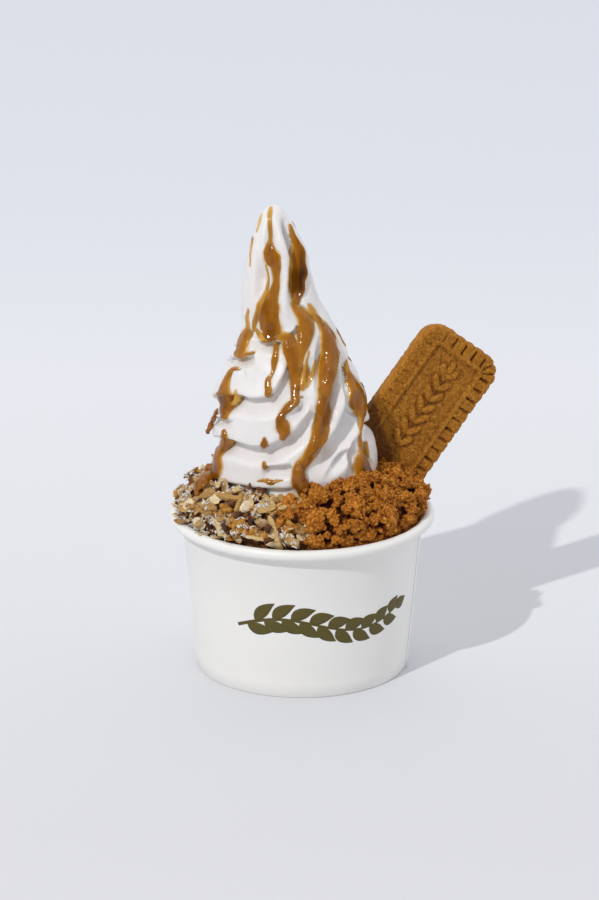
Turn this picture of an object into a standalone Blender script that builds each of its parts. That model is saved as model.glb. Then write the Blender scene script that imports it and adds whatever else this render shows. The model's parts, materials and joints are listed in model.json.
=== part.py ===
"""A paper cup of soft frozen yogurt: a tall ribbed swirl with thick biscuit sauce run down it, a heap of
granola on the left, a heap of biscuit crumb on the right, and one fluted biscuit pushed in at the back.

Everything is modelled round the cup's own axis, seen from the front (the -Y side), and the whole is moved
at the end so that its bounding box is centred over the origin. The table is at Z = 0. Units are metres.
"""

import math
import random

import bmesh
import bpy
import numpy as np
from mathutils import Matrix, Vector

MM = 0.001

# The paper cup.
CUP_HEIGHT = 56.0 * MM
CUP_BASE_RADIUS = 36.5 * MM
CUP_WALL_TOP_RADIUS = 41.7 * MM
RIM_OUTER_RADIUS = 45.5 * MM
RIM_ROLL_RADIUS = 1.9 * MM
PAPER = 0.6 * MM
SKIRT_PAPER = 1.3 * MM
FLOOR_HEIGHT = 5.0 * MM
CUP_STEPS = 72
ROLL_STEPS = 9

# What lies in the cup keeps this far from its neighbours.
GAP = 0.3 * MM
FILL_HEIGHT = 50.0 * MM

# The yogurt swirl, as seen from the front: height above the table, centre and half width.
SWIRL_TOP = 164.0 * MM
SWIRL_OUTLINE = (
    (50.0, -2.0, 27.6),
    (76.0, -2.2, 27.6),
    (84.0, -3.0, 26.9),
    (92.0, -4.5, 26.2),
    (100.0, -4.5, 24.7),
    (108.0, -4.5, 21.7),
    (116.0, -4.5, 17.9),
    (124.0, -5.4, 14.9),
    (131.0, -7.4, 13.1),
    (138.0, -8.2, 11.8),
    (148.0, -8.5, 9.7),
    (156.0, -9.0, 7.0),
    (161.0, -9.6, 4.2),
    (164.0, -9.8, 0.0),
)
RIB_COUNT = 8
RIB_PITCH = 7.4 * MM
RIB_DEPTH = 2.3 * MM
RELIEF_START = (62.0 * MM, 70.0 * MM)
RELIEF_INWARD = (76.0 * MM, 88.0 * MM)
RIBS_UPRIGHT = (98.0 * MM, 126.0 * MM)
RAMP = (92.0, 182.0)
RAMP_SHARE = 0.74
SWIRL_RINGS = 190
SWIRL_SIDES = 160
SWIRL_TRIANGLES = 4900

# The sauce: a list of runs, each a list of points on the swirl. A point gives the side angle in degrees
# (0 is the left, 90 the front and 180 the right), the height and the half width, both in millimetres.
SAUCE_THICKNESS = 1.5 * MM
SAUCE_EDGE = 1.3 * MM
SAUCE_FOOT = (78.5 * MM, 82.0 * MM)
SAUCE_RUNS = (
    ((92, 162.5, 1.6), (82, 157, 1.6), (76, 150, 2.4), (84, 143, 2.6), (92, 136, 2.0), (86, 129, 3.8),
     (84, 123, 4.6)),
    ((84, 123, 4.6), (92, 114, 1.2), (92, 106, 1.1), (87, 97, 1.8)),
    ((90, 123, 4.6), (103, 116, 3.0), (104, 106, 2.8), (104, 99, 2.3), (95, 91, 1.8), (92, 84.5, 2.3)),
    ((128, 158, 1.6), (135, 150, 2.6), (138, 141, 3.0), (132, 132, 2.6), (118, 126, 2.6), (118, 116, 2.4),
     (114, 105, 1.6)),
    ((138, 128, 2.0), (142, 120, 2.8), (138, 110, 3.0), (132, 100, 2.6), (127, 88, 2.7), (114, 77, 2.6),
     (104, 70, 3.2)),
    ((60, 130, 2.4), (46, 121, 2.4), (34, 113, 2.6), (36, 103, 2.0), (38, 94, 3.4), (38, 87, 1.6)),
    ((38, 82, 1.4), (37, 76, 1.8), (35, 71, 2.6), (28, 64, 2.8)),
    ((168, 108, 1.6), (166, 98, 2.6), (166, 88, 2.2), (163, 78, 1.8), (158, 71, 3.2)),
    ((70, 80.5, 1.6), (71, 78, 1.9)),
)

# The two heaps that fill the ring between the swirl and the cup. Angles are measured as for the sauce.
HEAP_FOOT_HEIGHT = 57.2 * MM
HEAP_EDGE_RADIUS = 40.6 * MM
HEAP_SHOULDER_RADIUS = 42.6 * MM
HEAP_STEP_DEGREES = 7.5
HEAP_RISE_STEPS = 5
GRANOLA_ANGLES = (-84.0, 91.0)
GRANOLA_RISE = 13.0 * MM
CRUMBLE_ANGLES = (92.2, 274.8)
CRUMBLE_RISE = 18.0 * MM
LUMP_COUNT = 50
CLUSTER_COUNT = 18
SLIVER_COUNT = 20
FLAKE_COUNT = 8

# The biscuit: its face looks to the front, and its long side leans to the right.
BISCUIT_LENGTH = 62.0 * MM
BISCUIT_WIDTH = 31.5 * MM
BISCUIT_THICKNESS = 6.6 * MM
BISCUIT_CORNER = 7.5 * MM
BISCUIT_LEAN_DEGREES = 37.0
BISCUIT_BACK_DEGREES = 4.0
BISCUIT_YAW_DEGREES = 12.0
BISCUIT_CENTRE = (39.2 * MM, 14.0 * MM, 85.4 * MM)
LOBE_COUNT = 42
LOBE_DEPTH = 0.55 * MM
LOBE_POINTS = 3
BISCUIT_BEVEL = 1.1 * MM
FIELD_INSET = 4.6 * MM
FIELD_DEPTH = 0.7 * MM


def clear_scene():
    for obj in list(bpy.data.objects):
        bpy.data.objects.remove(obj)


def finish_material(name, colour, roughness):
    material = bpy.data.materials.new(name)
    material.use_nodes = True
    shader = material.node_tree.nodes["Principled BSDF"]
    shader.inputs["Base Color"].default_value = (*colour, 1.0)
    shader.inputs["Roughness"].default_value = roughness
    shader.inputs["Metallic"].default_value = 0.0
    return material


def new_object(name, bm, material=None):
    """Puts a bmesh into a named object, with its faces pointing out."""
    bmesh.ops.recalc_face_normals(bm, faces=bm.faces)
    mesh = bpy.data.meshes.new(name)
    bm.to_mesh(mesh)
    bm.free()
    obj = bpy.data.objects.new(name, mesh)
    bpy.context.scene.collection.objects.link(obj)
    if material:
        mesh.materials.append(material)
    return obj


def apply_modifiers(obj):
    """Replaces the object's mesh by the one that its modifiers make."""
    graph = bpy.context.evaluated_depsgraph_get()
    made = bpy.data.meshes.new_from_object(obj.evaluated_get(graph), depsgraph=graph)
    obj.modifiers.clear()
    obj.data = made


def boolean(obj, others, operation):
    """Joins the other objects to this one, or cuts them from it, in one step, and removes them."""
    group = bpy.data.collections.new("operands")
    bpy.context.scene.collection.children.link(group)
    for other in others:
        group.objects.link(other)
    modifier = obj.modifiers.new(operation.lower(), "BOOLEAN")
    modifier.operation = operation
    modifier.operand_type = "COLLECTION"
    modifier.collection = group
    modifier.solver = "EXACT"
    apply_modifiers(obj)
    for other in others:
        bpy.data.objects.remove(other)
    bpy.data.collections.remove(group)


def smooth_step(low, high, value):
    t = np.clip((value - low) / (high - low), 0.0, 1.0)
    return t * t * (3.0 - 2.0 * t)


def through_points(value, at, heights):
    """A smooth curve through points that never swings past them: it is level at each high and low."""
    at = np.asarray(at, float)
    heights = np.asarray(heights, float)
    rises = np.diff(heights) / np.diff(at)
    before, after = rises[:-1], rises[1:]
    level = before * after <= 0.0
    middle = np.where(level, 0.0, 2.0 * before * after / np.where(level, 1.0, before + after))
    slopes = np.concatenate([rises[:1], middle, rises[-1:]])
    value = np.clip(value, at[0], at[-1])
    i = np.clip(np.searchsorted(at, value) - 1, 0, len(at) - 2)
    width = at[i + 1] - at[i]
    t = (value - at[i]) / width
    left = heights[i] * (1 + 2 * t) * (1 - t) ** 2 + slopes[i] * width * t * (1 - t) ** 2
    right = heights[i + 1] * t * t * (3 - 2 * t) + slopes[i + 1] * width * t * t * (t - 1)
    return left + right


# The cup

def turned(name, profile, steps, material):
    """A solid turned about Z from a closed profile of (radius, height) points. Points on the axis merge."""
    bm = bmesh.new()
    points = [bm.verts.new((radius, 0.0, height)) for radius, height in profile]
    edges = [bm.edges.new(pair) for pair in zip(points, points[1:])]
    bmesh.ops.spin(
        bm, geom=points + edges, axis=(0, 0, 1), cent=(0, 0, 0), angle=2 * math.pi, steps=steps
    )
    bmesh.ops.remove_doubles(bm, verts=bm.verts, dist=0.02 * MM)
    return new_object(name, bm, material)


def wall_radius(height):
    """The outside of the paper wall at a height."""
    return CUP_BASE_RADIUS + (CUP_WALL_TOP_RADIUS - CUP_BASE_RADIUS) * height / CUP_HEIGHT


def cup(material):
    """A tapered paper wall with a rolled rim, standing on a skirt with the floor set up inside it."""
    roll_radius = RIM_OUTER_RADIUS - RIM_ROLL_RADIUS
    roll_height = CUP_HEIGHT - RIM_ROLL_RADIUS
    under_roll = roll_height - RIM_ROLL_RADIUS * 0.9
    profile = [(0.0, FLOOR_HEIGHT - PAPER)]
    profile += [(CUP_BASE_RADIUS - SKIRT_PAPER, FLOOR_HEIGHT - PAPER), (CUP_BASE_RADIUS - SKIRT_PAPER, 0.0)]
    profile += [(CUP_BASE_RADIUS, 0.0), (wall_radius(under_roll), under_roll)]
    for step in range(ROLL_STEPS):
        turn = math.radians(-110.0 + 235.0 * step / (ROLL_STEPS - 1))
        profile.append(
            (roll_radius + RIM_ROLL_RADIUS * math.cos(turn), roll_height + RIM_ROLL_RADIUS * math.sin(turn))
        )
    profile += [
        (wall_radius(roll_height) - PAPER, roll_height),
        (wall_radius(FLOOR_HEIGHT) - PAPER, FLOOR_HEIGHT),
        (0.0, FLOOR_HEIGHT),
    ]
    return turned("cup", profile, CUP_STEPS, material)


# The swirl

def outline_at(height):
    """The swirl's centre and half width at a height. Near the tip both follow the root of the depth
    below it, which rounds the tip off."""
    rows = np.array(SWIRL_OUTLINE[::-1]) * MM
    depth = np.sqrt(np.maximum(SWIRL_TOP - height, 0.0))
    row_depth = np.sqrt(SWIRL_TOP - rows[:, 0])
    return through_points(depth, row_depth, rows[:, 1]), through_points(depth, row_depth, rows[:, 2])


def rib_phase(angle, height):
    """A number that grows by one from each rib to the next. On the left the ribs lie flat, on the right
    they climb steeply, and on the tongue they stand upright."""
    table = np.linspace(FILL_HEIGHT, SWIRL_TOP, 400)
    rate = (1.0 - 0.93 * smooth_step(*RIBS_UPRIGHT, table)) / RIB_PITCH
    climbed = np.concatenate([[0.0], np.cumsum(0.5 * (rate[1:] + rate[:-1]) * np.diff(table))])
    upward = np.interp(height, table, climbed)
    turns = (angle - 40.0) / 360.0
    whole = np.floor(turns)
    within = (turns - whole) * 360.0 + 40.0
    ramp = (1.0 - RAMP_SHARE) * (turns - whole) + RAMP_SHARE * smooth_step(*RAMP, within)
    upright = smooth_step(*RIBS_UPRIGHT, height)
    around = (whole + ramp) * (1.0 - upright) + (turns - 0.12) * upright
    radians = np.radians(angle)
    waver = 0.22 * np.sin(2 * radians + height / (11 * MM)) + 0.13 * np.sin(3 * radians - height / (6 * MM))
    return upward - RIB_COUNT * around + waver


def rib_relief(angle, height):
    """How far the ribs stand out: rounded lobes that meet in sharp folds, each lobe of its own depth.
    Low down, beside the heaps, they only cut inwards."""
    phase = rib_phase(angle, height)
    which = np.floor(phase)
    across = phase - which
    lobe = 1.0 - np.abs(2.0 * across - 1.0) ** 2.3
    uneven = 0.86 + 0.34 * np.sin(2.4 * np.mod(which, RIB_COUNT) + 0.6)
    near_tip = 1.0 - 0.8 * smooth_step(150 * MM, SWIRL_TOP, height)
    depth = RIB_DEPTH * near_tip * smooth_step(*RELIEF_START, height)
    sunk = 1.2 - 0.5 * smooth_step(*RELIEF_INWARD, height)
    return depth * (uneven * lobe - sunk)


def swirl_surface(angle, height):
    """Points of the bare swirl, as three arrays."""
    centre, half = outline_at(height)
    radius = np.maximum(half + rib_relief(angle, height) * np.minimum(1.0, half / (7 * MM)), 0.0)
    radians = np.radians(angle)
    return centre - radius * np.cos(radians), -radius * np.sin(radians), height + 0.0 * angle


def sauce_depth(points):
    """The thickness of the sauce at points of the swirl: rounded at its edges, level further in, and
    nothing away from the runs."""
    inside = np.full(len(points), -1.0)
    for run in SAUCE_RUNS:
        angle, height, width = np.array(run, float).T
        steps = np.linspace(0, len(run) - 1, 12 * len(run))
        marks = np.arange(len(run))
        line_angle = through_points(steps, marks, angle)
        line_height = through_points(steps, marks, height * MM)
        line_width = through_points(steps, marks, width * MM)
        line = np.stack(swirl_surface(line_angle, line_height), axis=1)
        for centre, half in zip(line, line_width):
            inside = np.maximum(inside, half - np.linalg.norm(points - centre, axis=1))
    rise = np.clip(inside / SAUCE_EDGE, 0.0, 1.0)
    return SAUCE_THICKNESS * np.sqrt(rise * (2.0 - rise))


def swirl_height(share):
    """Ring heights, closer together towards the tip."""
    return FILL_HEIGHT + (SWIRL_TOP - FILL_HEIGHT) * (1.0 - (1.0 - share) ** 1.5)


def yogurt(material):
    """The yogurt that fills the cup and stands up out of it, with the thick runs of sauce raised on it."""
    share, angle = np.meshgrid(
        np.linspace(0.0, 1.0, SWIRL_RINGS)[:-1], np.arange(SWIRL_SIDES) * 360.0 / SWIRL_SIDES, indexing="ij"
    )
    height = swirl_height(share.ravel())
    angle = angle.ravel()
    points = np.stack(swirl_surface(angle, height), axis=1)
    outward = np.stack([-np.cos(np.radians(angle)), -np.sin(np.radians(angle)), 0 * angle], axis=1)
    points = points + outward * (sauce_depth(points) * smooth_step(*SAUCE_FOOT, height))[:, None]
    bm = bmesh.new()
    rings = [
        [bm.verts.new(p) for p in points[i : i + SWIRL_SIDES]] for i in range(0, len(points), SWIRL_SIDES)
    ]
    tip_centre = outline_at(np.array([SWIRL_TOP]))[0][0]
    tip = bm.verts.new((tip_centre, 0.0, SWIRL_TOP))
    fill_radius = wall_radius(FILL_HEIGHT) - PAPER - GAP
    foot_radius = wall_radius(FLOOR_HEIGHT) - PAPER - GAP
    below = []
    for radius, level in ((fill_radius, FILL_HEIGHT), (foot_radius, FLOOR_HEIGHT + GAP)):
        turns = np.radians(np.arange(SWIRL_SIDES) * 360.0 / SWIRL_SIDES)
        below.append([bm.verts.new((-radius * math.cos(t), -radius * math.sin(t), level)) for t in turns])
    rings = below[::-1] + rings
    for lower, upper in zip(rings, rings[1:]):
        for i in range(SWIRL_SIDES):
            j = (i + 1) % SWIRL_SIDES
            bm.faces.new((lower[i], lower[j], upper[j], upper[i]))
    for i in range(SWIRL_SIDES):
        bm.faces.new((rings[-1][i], rings[-1][(i + 1) % SWIRL_SIDES], tip))
    bm.faces.new(rings[0][::-1])
    bmesh.ops.triangulate(bm, faces=bm.faces)
    made = len(bm.faces)
    obj = new_object("yogurt", bm, material)
    fewer = obj.modifiers.new("fewer", "DECIMATE")
    fewer.ratio = SWIRL_TRIANGLES / made
    apply_modifiers(obj)
    return obj


# The biscuit

def biscuit_outline(grow=0.0):
    """Points round the biscuit, a rounded rectangle with a fluted edge, from the middle of one long side."""
    half_width = BISCUIT_WIDTH / 2 - LOBE_DEPTH + grow
    half_length = BISCUIT_LENGTH / 2 - LOBE_DEPTH + grow
    corner = BISCUIT_CORNER
    straight = (2 * (half_width - corner), 2 * (half_length - corner))
    quarter = math.pi / 2 * corner
    around = 2 * sum(straight) + 4 * quarter
    count = LOBE_COUNT * LOBE_POINTS
    points = []
    for i in range(count):
        along = around * i / count
        lobe = LOBE_DEPTH * abs(math.sin(math.pi * LOBE_COUNT * i / count)) ** 0.8
        centre = Vector((half_width - corner, -(half_length - corner)))
        facing = 0.0
        for side in range(4):
            length = straight[(side + 1) % 2]
            heading = Vector((-math.sin(facing), math.cos(facing)))
            if along <= length:
                spot = centre + heading * along
                break
            centre = centre + heading * length
            along -= length
            if along <= quarter:
                facing += along / corner
                spot = centre
                break
            along -= quarter
            facing += math.pi / 2
        out = Vector((math.cos(facing), math.sin(facing)))
        points.append(spot + out * (corner + lobe))
    return points


def biscuit_placement():
    lean = Matrix.Rotation(math.radians(BISCUIT_LEAN_DEGREES), 4, "Y")
    back = Matrix.Rotation(math.radians(-BISCUIT_BACK_DEGREES), 4, "X")
    upright = Matrix.Rotation(math.radians(90), 4, "X")
    yaw = Matrix.Rotation(math.radians(BISCUIT_YAW_DEGREES), 4, "Z")
    return Matrix.Translation(BISCUIT_CENTRE) @ yaw @ back @ lean @ upright


def slab(name, layers, material=None):
    """A closed stack of outlines. Each layer is (points, height), from the bottom up."""
    bm = bmesh.new()
    rings = [[bm.verts.new((p.x, p.y, height)) for p in points] for points, height in layers]
    for lower, upper in zip(rings, rings[1:]):
        for i in range(len(lower)):
            j = (i + 1) % len(lower)
            bm.faces.new((lower[i], lower[j], upper[j], upper[i]))
    bm.faces.new(rings[0][::-1])
    bm.faces.new(rings[-1])
    bmesh.ops.triangulate(bm, faces=[f for f in bm.faces if len(f.verts) > 4])
    obj = new_object(name, bm, material)
    obj.data.transform(biscuit_placement())
    return obj


def scaled_in(points, inset):
    """The outline drawn in by an even amount on each side."""
    across = 1.0 - inset / (BISCUIT_WIDTH / 2)
    along = 1.0 - inset / (BISCUIT_LENGTH / 2)
    return [Vector((p.x * across, p.y * along)) for p in points]


def biscuit(material):
    """A baked slab with a fluted edge, a rounded shoulder and a shallow sunk field on its face."""
    edge = biscuit_outline()
    half = BISCUIT_THICKNESS / 2
    layers = [
        (scaled_in(edge, BISCUIT_BEVEL * 0.6), -half),
        (edge, -half + BISCUIT_BEVEL),
        (edge, half - BISCUIT_BEVEL),
        (scaled_in(edge, BISCUIT_BEVEL), half),
        (scaled_in(edge, FIELD_INSET), half),
        (scaled_in(edge, FIELD_INSET + FIELD_DEPTH), half - FIELD_DEPTH),
    ]
    return slab("biscuit", layers, material)


def biscuit_slot():
    """The space that the biscuit takes in what it is pushed into, a gap larger all round."""
    whole = biscuit_outline()
    outline = [whole[i] for i in range(LOBE_POINTS // 2, len(whole), LOBE_POINTS)]
    grown = scaled_in(outline, -GAP * 1.4)
    half = BISCUIT_THICKNESS / 2 + GAP
    return slab("slot", [(grown, -half), (grown, half)])


# The heaps

def heap_profile(share, rise):
    """The heap's top from its outer edge (share 0) to the swirl (share 1), as radius and height."""
    inner = SWIRL_OUTLINE[1][2] * MM + GAP
    turn = share * math.pi / 2
    radius = inner + (HEAP_SHOULDER_RADIUS - inner) * math.cos(turn)
    return radius, HEAP_FOOT_HEIGHT + rise * math.sin(turn)


def on_heap(angle, radius, height):
    """A point at a radius measured from the swirl's axis near the swirl and the cup's axis at the rim."""
    inner = SWIRL_OUTLINE[1][2] * MM + GAP
    near_swirl = np.clip((HEAP_EDGE_RADIUS - radius) / (HEAP_EDGE_RADIUS - inner), 0.0, 1.0)
    turn = math.radians(angle)
    centre = SWIRL_OUTLINE[1][1] * MM * near_swirl
    return Vector((centre - radius * math.cos(turn), -radius * math.sin(turn), height))


def heap_core(name, angles, rise, material):
    """A solid sector of the ring, its foot on the yogurt and its top domed up to the swirl."""
    inner = SWIRL_OUTLINE[1][2] * MM + GAP
    count = round((angles[1] - angles[0]) / HEAP_STEP_DEGREES)
    bm = bmesh.new()
    sections = []
    for i in range(count + 1):
        angle = angles[0] + (angles[1] - angles[0]) * i / count
        outer = [(HEAP_EDGE_RADIUS - GAP, FILL_HEIGHT + GAP), (HEAP_EDGE_RADIUS, CUP_HEIGHT + GAP)]
        domed = [heap_profile(s / HEAP_RISE_STEPS, rise) for s in range(HEAP_RISE_STEPS + 1)]
        ring = [(inner, FILL_HEIGHT + GAP), *outer, *domed]
        sections.append([bm.verts.new(on_heap(angle, *point)) for point in ring])
    for first, second in zip(sections, sections[1:]):
        for i in range(len(first)):
            j = (i + 1) % len(first)
            bm.faces.new((first[i], first[j], second[j], second[i]))
    bm.faces.new(sections[0][::-1])
    bm.faces.new(sections[-1])
    bmesh.ops.triangulate(bm, faces=bm.faces, ngon_method="EAR_CLIP")
    return new_object(name, bm, material)


def clear_of_neighbours(spot, reach, angles):
    """Whether a piece of this reach keeps off the rolled rim, the swirl and the next heap."""
    roll = Vector((RIM_OUTER_RADIUS - RIM_ROLL_RADIUS, CUP_HEIGHT - RIM_ROLL_RADIUS))
    out = Vector((math.hypot(spot.x, spot.y), spot.z))
    if (out - roll).length < RIM_ROLL_RADIUS + reach + GAP or out.x + reach > RIM_OUTER_RADIUS + 1.5 * MM:
        return False
    if spot.z - reach < CUP_HEIGHT and out.x + reach > HEAP_EDGE_RADIUS:
        return False
    from_swirl = math.hypot(spot.x - SWIRL_OUTLINE[1][1] * MM, spot.y)
    if from_swirl < SWIRL_OUTLINE[1][2] * MM + reach + GAP * 3:
        return False
    angle = math.degrees(math.atan2(-spot.y, -spot.x))
    if angle < -90.0 + (angles[1] > 180.0) * 180.0:
        angle += 360.0
    spread = math.degrees(reach / out.x)
    return angles[0] + spread + 0.6 < angle < angles[1] - spread - 0.6


def pebble(size, spot, turn, rng):
    """A rough lump: a coarse sphere with each corner moved in or out."""
    bm = bmesh.new()
    bmesh.ops.create_icosphere(bm, subdivisions=1, radius=1.0)
    for vert in bm.verts:
        vert.co *= rng.uniform(0.78, 1.0)
    bmesh.ops.transform(bm, matrix=Matrix.LocRotScale(spot, turn, Vector(size)), verts=bm.verts)
    return new_object("piece", bm)


def sliver(length, width, thickness, spot, turn):
    """A split almond or oat: a flat bar of six sides drawn in at both ends."""
    bm = bmesh.new()
    ends = ((-0.5, 0.45), (-0.22, 1.0), (0.22, 1.0), (0.5, 0.45))
    rings = []
    for along, full in ends:
        ring = []
        for side in range(6):
            around = math.radians(60.0 * side)
            across = full * width / 2 * math.cos(around)
            up = full * thickness / 2 * math.sin(around)
            ring.append(bm.verts.new((along * length, across, up)))
        rings.append(ring)
    for first, second in zip(rings, rings[1:]):
        for i in range(6):
            j = (i + 1) % 6
            bm.faces.new((first[i], first[j], second[j], second[i]))
    bm.faces.new(rings[0][::-1])
    bm.faces.new(rings[-1])
    bmesh.ops.transform(bm, matrix=Matrix.LocRotScale(spot, turn, None), verts=bm.verts)
    return new_object("piece", bm)


def random_turn(rng, tilt):
    """A turn about Z with a random tilt of up to the given degrees."""
    return (
        Matrix.Rotation(rng.uniform(0, 2 * math.pi), 3, "Z")
        @ Matrix.Rotation(math.radians(rng.uniform(-tilt, tilt)), 3, "X")
        @ Matrix.Rotation(math.radians(rng.uniform(-tilt, tilt)), 3, "Y")
    ).to_quaternion()


def scatter(count, angles, rise, reach_range, rng, placed):
    """Spots over a heap, kept apart, each as (spot, reach). One that would touch a neighbour is skipped."""
    found = []
    for _ in range(count * 40):
        if len(found) == count:
            break
        reach = rng.uniform(*reach_range)
        angle = rng.uniform(*angles)
        radius, height = heap_profile(rng.uniform(0.12, 0.95), rise)
        spot = on_heap(angle, radius, height)
        apart = all((spot - other).length > 0.55 * (reach + size) for other, size in placed)
        if apart and clear_of_neighbours(spot, reach, angles):
            placed.append((spot, reach))
            found.append((spot, reach))
    return found


def crumble(material):
    """Broken biscuit: a core with lumps of crumb fused on it, and the biscuit's slot through it."""
    rng = random.Random(11)
    core = heap_core("crumble", CRUMBLE_ANGLES, CRUMBLE_RISE, material)
    lumps = []
    heap = (CRUMBLE_ANGLES, CRUMBLE_RISE)
    for spot, reach in scatter(LUMP_COUNT, *heap, (3.2 * MM, 5.8 * MM), rng, []):
        size = (reach, reach * rng.uniform(0.75, 1.0), reach * rng.uniform(0.7, 0.95))
        lumps.append(pebble(size, spot, random_turn(rng, 40), rng))
    boolean(core, lumps, "UNION")
    boolean(core, [biscuit_slot()], "DIFFERENCE")
    return core


def granola(material):
    """Toasted clusters, split almonds and flakes fused on a core."""
    rng = random.Random(5)
    core = heap_core("granola", GRANOLA_ANGLES, GRANOLA_RISE, material)
    placed = []
    pieces = []
    heap = (GRANOLA_ANGLES, GRANOLA_RISE)
    for spot, reach in scatter(CLUSTER_COUNT, *heap, (3.0 * MM, 5.4 * MM), rng, placed):
        size = (reach, reach * 0.75, reach * 0.65)
        pieces.append(pebble(size, spot, random_turn(rng, 30), rng))
    for spot, reach in scatter(SLIVER_COUNT, *heap, (3.2 * MM, 5.4 * MM), rng, placed):
        pieces.append(sliver(2 * reach, 0.62 * reach, 0.4 * reach, spot, random_turn(rng, 24)))
    for spot, reach in scatter(FLAKE_COUNT, *heap, (2.0 * MM, 3.0 * MM), rng, placed):
        pieces.append(sliver(2 * reach, 1.6 * reach, 0.5 * reach, spot, random_turn(rng, 30)))
    boolean(core, pieces, "UNION")
    return core


def centre_over_origin():
    """Moves the whole model sideways so that its bounding box is centred over the origin."""
    meshes = [obj.data for obj in bpy.context.scene.objects if obj.type == "MESH"]
    corners = np.array([vert.co for mesh in meshes for vert in mesh.vertices])
    middle = (corners.min(axis=0) + corners.max(axis=0)) / 2
    for mesh in meshes:
        mesh.transform(Matrix.Translation((-middle[0], -middle[1], 0.0)))


def main():
    clear_scene()
    card = finish_material("cup_card", (0.86, 0.86, 0.85), 0.45)
    white = finish_material("yogurt", (0.93, 0.92, 0.91), 0.4)
    toasted = finish_material("granola", (0.47, 0.30, 0.13), 0.8)
    crumb = finish_material("crumble", (0.42, 0.19, 0.045), 0.9)
    baked = finish_material("biscuit", (0.44, 0.22, 0.06), 0.85)
    cup(card)
    swirl = yogurt(white)
    boolean(swirl, [biscuit_slot()], "DIFFERENCE")
    crumble(crumb)
    granola(toasted)
    biscuit(baked)
    centre_over_origin()


main()
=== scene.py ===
import json
import math

import bmesh
import bpy
import numpy as np
from mathutils import Matrix, Vector, noise
from mathutils.bvhtree import BVHTree

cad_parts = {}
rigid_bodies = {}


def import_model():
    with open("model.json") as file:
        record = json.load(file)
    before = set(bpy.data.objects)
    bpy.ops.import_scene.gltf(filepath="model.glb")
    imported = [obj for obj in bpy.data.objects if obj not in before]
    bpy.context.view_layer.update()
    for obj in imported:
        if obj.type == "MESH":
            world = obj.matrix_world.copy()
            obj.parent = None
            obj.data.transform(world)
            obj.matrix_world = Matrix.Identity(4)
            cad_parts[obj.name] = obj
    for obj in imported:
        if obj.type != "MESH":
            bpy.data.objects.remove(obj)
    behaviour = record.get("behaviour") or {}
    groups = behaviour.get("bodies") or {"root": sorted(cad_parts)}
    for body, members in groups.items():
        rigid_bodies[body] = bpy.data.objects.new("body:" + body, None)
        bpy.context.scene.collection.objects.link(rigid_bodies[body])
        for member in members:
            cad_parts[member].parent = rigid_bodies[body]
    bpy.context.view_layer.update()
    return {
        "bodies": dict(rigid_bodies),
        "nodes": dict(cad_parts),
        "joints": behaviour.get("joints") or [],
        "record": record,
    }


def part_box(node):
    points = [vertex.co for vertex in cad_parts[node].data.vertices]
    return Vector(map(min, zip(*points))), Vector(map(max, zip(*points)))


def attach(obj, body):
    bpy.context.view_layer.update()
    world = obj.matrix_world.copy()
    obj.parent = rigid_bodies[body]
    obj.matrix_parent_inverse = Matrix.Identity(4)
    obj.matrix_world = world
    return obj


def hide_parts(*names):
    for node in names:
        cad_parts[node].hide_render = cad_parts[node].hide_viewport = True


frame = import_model()

# The studio is a wide sheet of pale paper under an even pale sky, with one fairly hard lamp high at the
# front left and a broad soft light overhead. The camera looks down a little from the front, from far off.
# The paper's colour is painted darker towards the front, as shade for the light falling off there. A pixel is
# one of the front view's, from its top left.
MM = 0.001
cup_low, cup_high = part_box("cup")
cup_axis = (cup_low.x + cup_high.x) / 2
cup_height = cup_high.z
cup_centre = np.array([cup_axis, 0.0, 0.0])
CAMERA_DISTANCE = 1.6
CAMERA_ELEVATION = math.radians(18.66)
FOCAL_PIXELS = 4668.2
VIEW_HEIGHT = 900
VIEW_WIDTH = 599
AIM = Vector((cup_axis - 0.9 * MM, 0.0, 76.9 * MM))
LAMP_PLACE = Vector((-0.607, -0.935, 1.015))
LAMP_STRENGTH = 18.5
LAMP_RADIUS = 0.014
LAMP_COLOUR = (1.0, 0.985, 0.96)
SKY_COLOUR = (0.955, 0.97, 1.0, 1.0)
SKY_BRIGHTEST = (0.25, 0.6, 0.75)
SKY_LEVEL = 0.52
SKY_GRADE = 0.56
PAPER_RADIUS = 4.0
PAPER_FRONT = -0.3
PAPER_BACK = 0.7
# Painted shade on the paper: its colour at shares of the way from front to back, darkest at the front.
PAPER_PAINTED_SHADE = (
    (0.15, (0.673, 0.673, 0.703)),
    (0.31, (0.714, 0.720, 0.751)),
    (0.62, (0.764, 0.778, 0.810)),
    (0.89, (0.728, 0.749, 0.803)),
)
camera_back = Vector((0.0, -math.cos(CAMERA_ELEVATION), math.sin(CAMERA_ELEVATION)))
camera_up = Vector((0.0, math.sin(CAMERA_ELEVATION), math.cos(CAMERA_ELEVATION)))
eye = AIM + camera_back * CAMERA_DISTANCE


def deselect_all():
    """Leaves edit mode and selects nothing."""
    if bpy.context.mode != "OBJECT":
        bpy.ops.object.mode_set(mode="OBJECT")
    bpy.ops.object.select_all(action="DESELECT")


def only(obj):
    """Selects one object and makes it active."""
    deselect_all()
    obj.select_set(True)
    bpy.context.view_layer.objects.active = obj
    return obj


def seen_at(pixel, depth):
    """The point that the camera sees at a pixel of its picture, on the upright plane at Y = depth."""
    across = (pixel[0] - VIEW_WIDTH / 2) / FOCAL_PIXELS
    up = (VIEW_HEIGHT / 2 - pixel[1]) / FOCAL_PIXELS
    ray = Vector((across, 0.0, 0.0)) + camera_up * up - camera_back
    return eye + ray * ((depth - eye.y) / ray.y)


deselect_all()
bpy.ops.object.camera_add(location=eye, rotation=(math.pi / 2 - CAMERA_ELEVATION, 0.0, 0.0))
camera = bpy.context.object
camera.data.sensor_width = 36.0
camera.data.lens = camera.data.sensor_width * FOCAL_PIXELS / VIEW_HEIGHT
camera.data.clip_end = 20.0
bpy.context.scene.camera = camera

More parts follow.
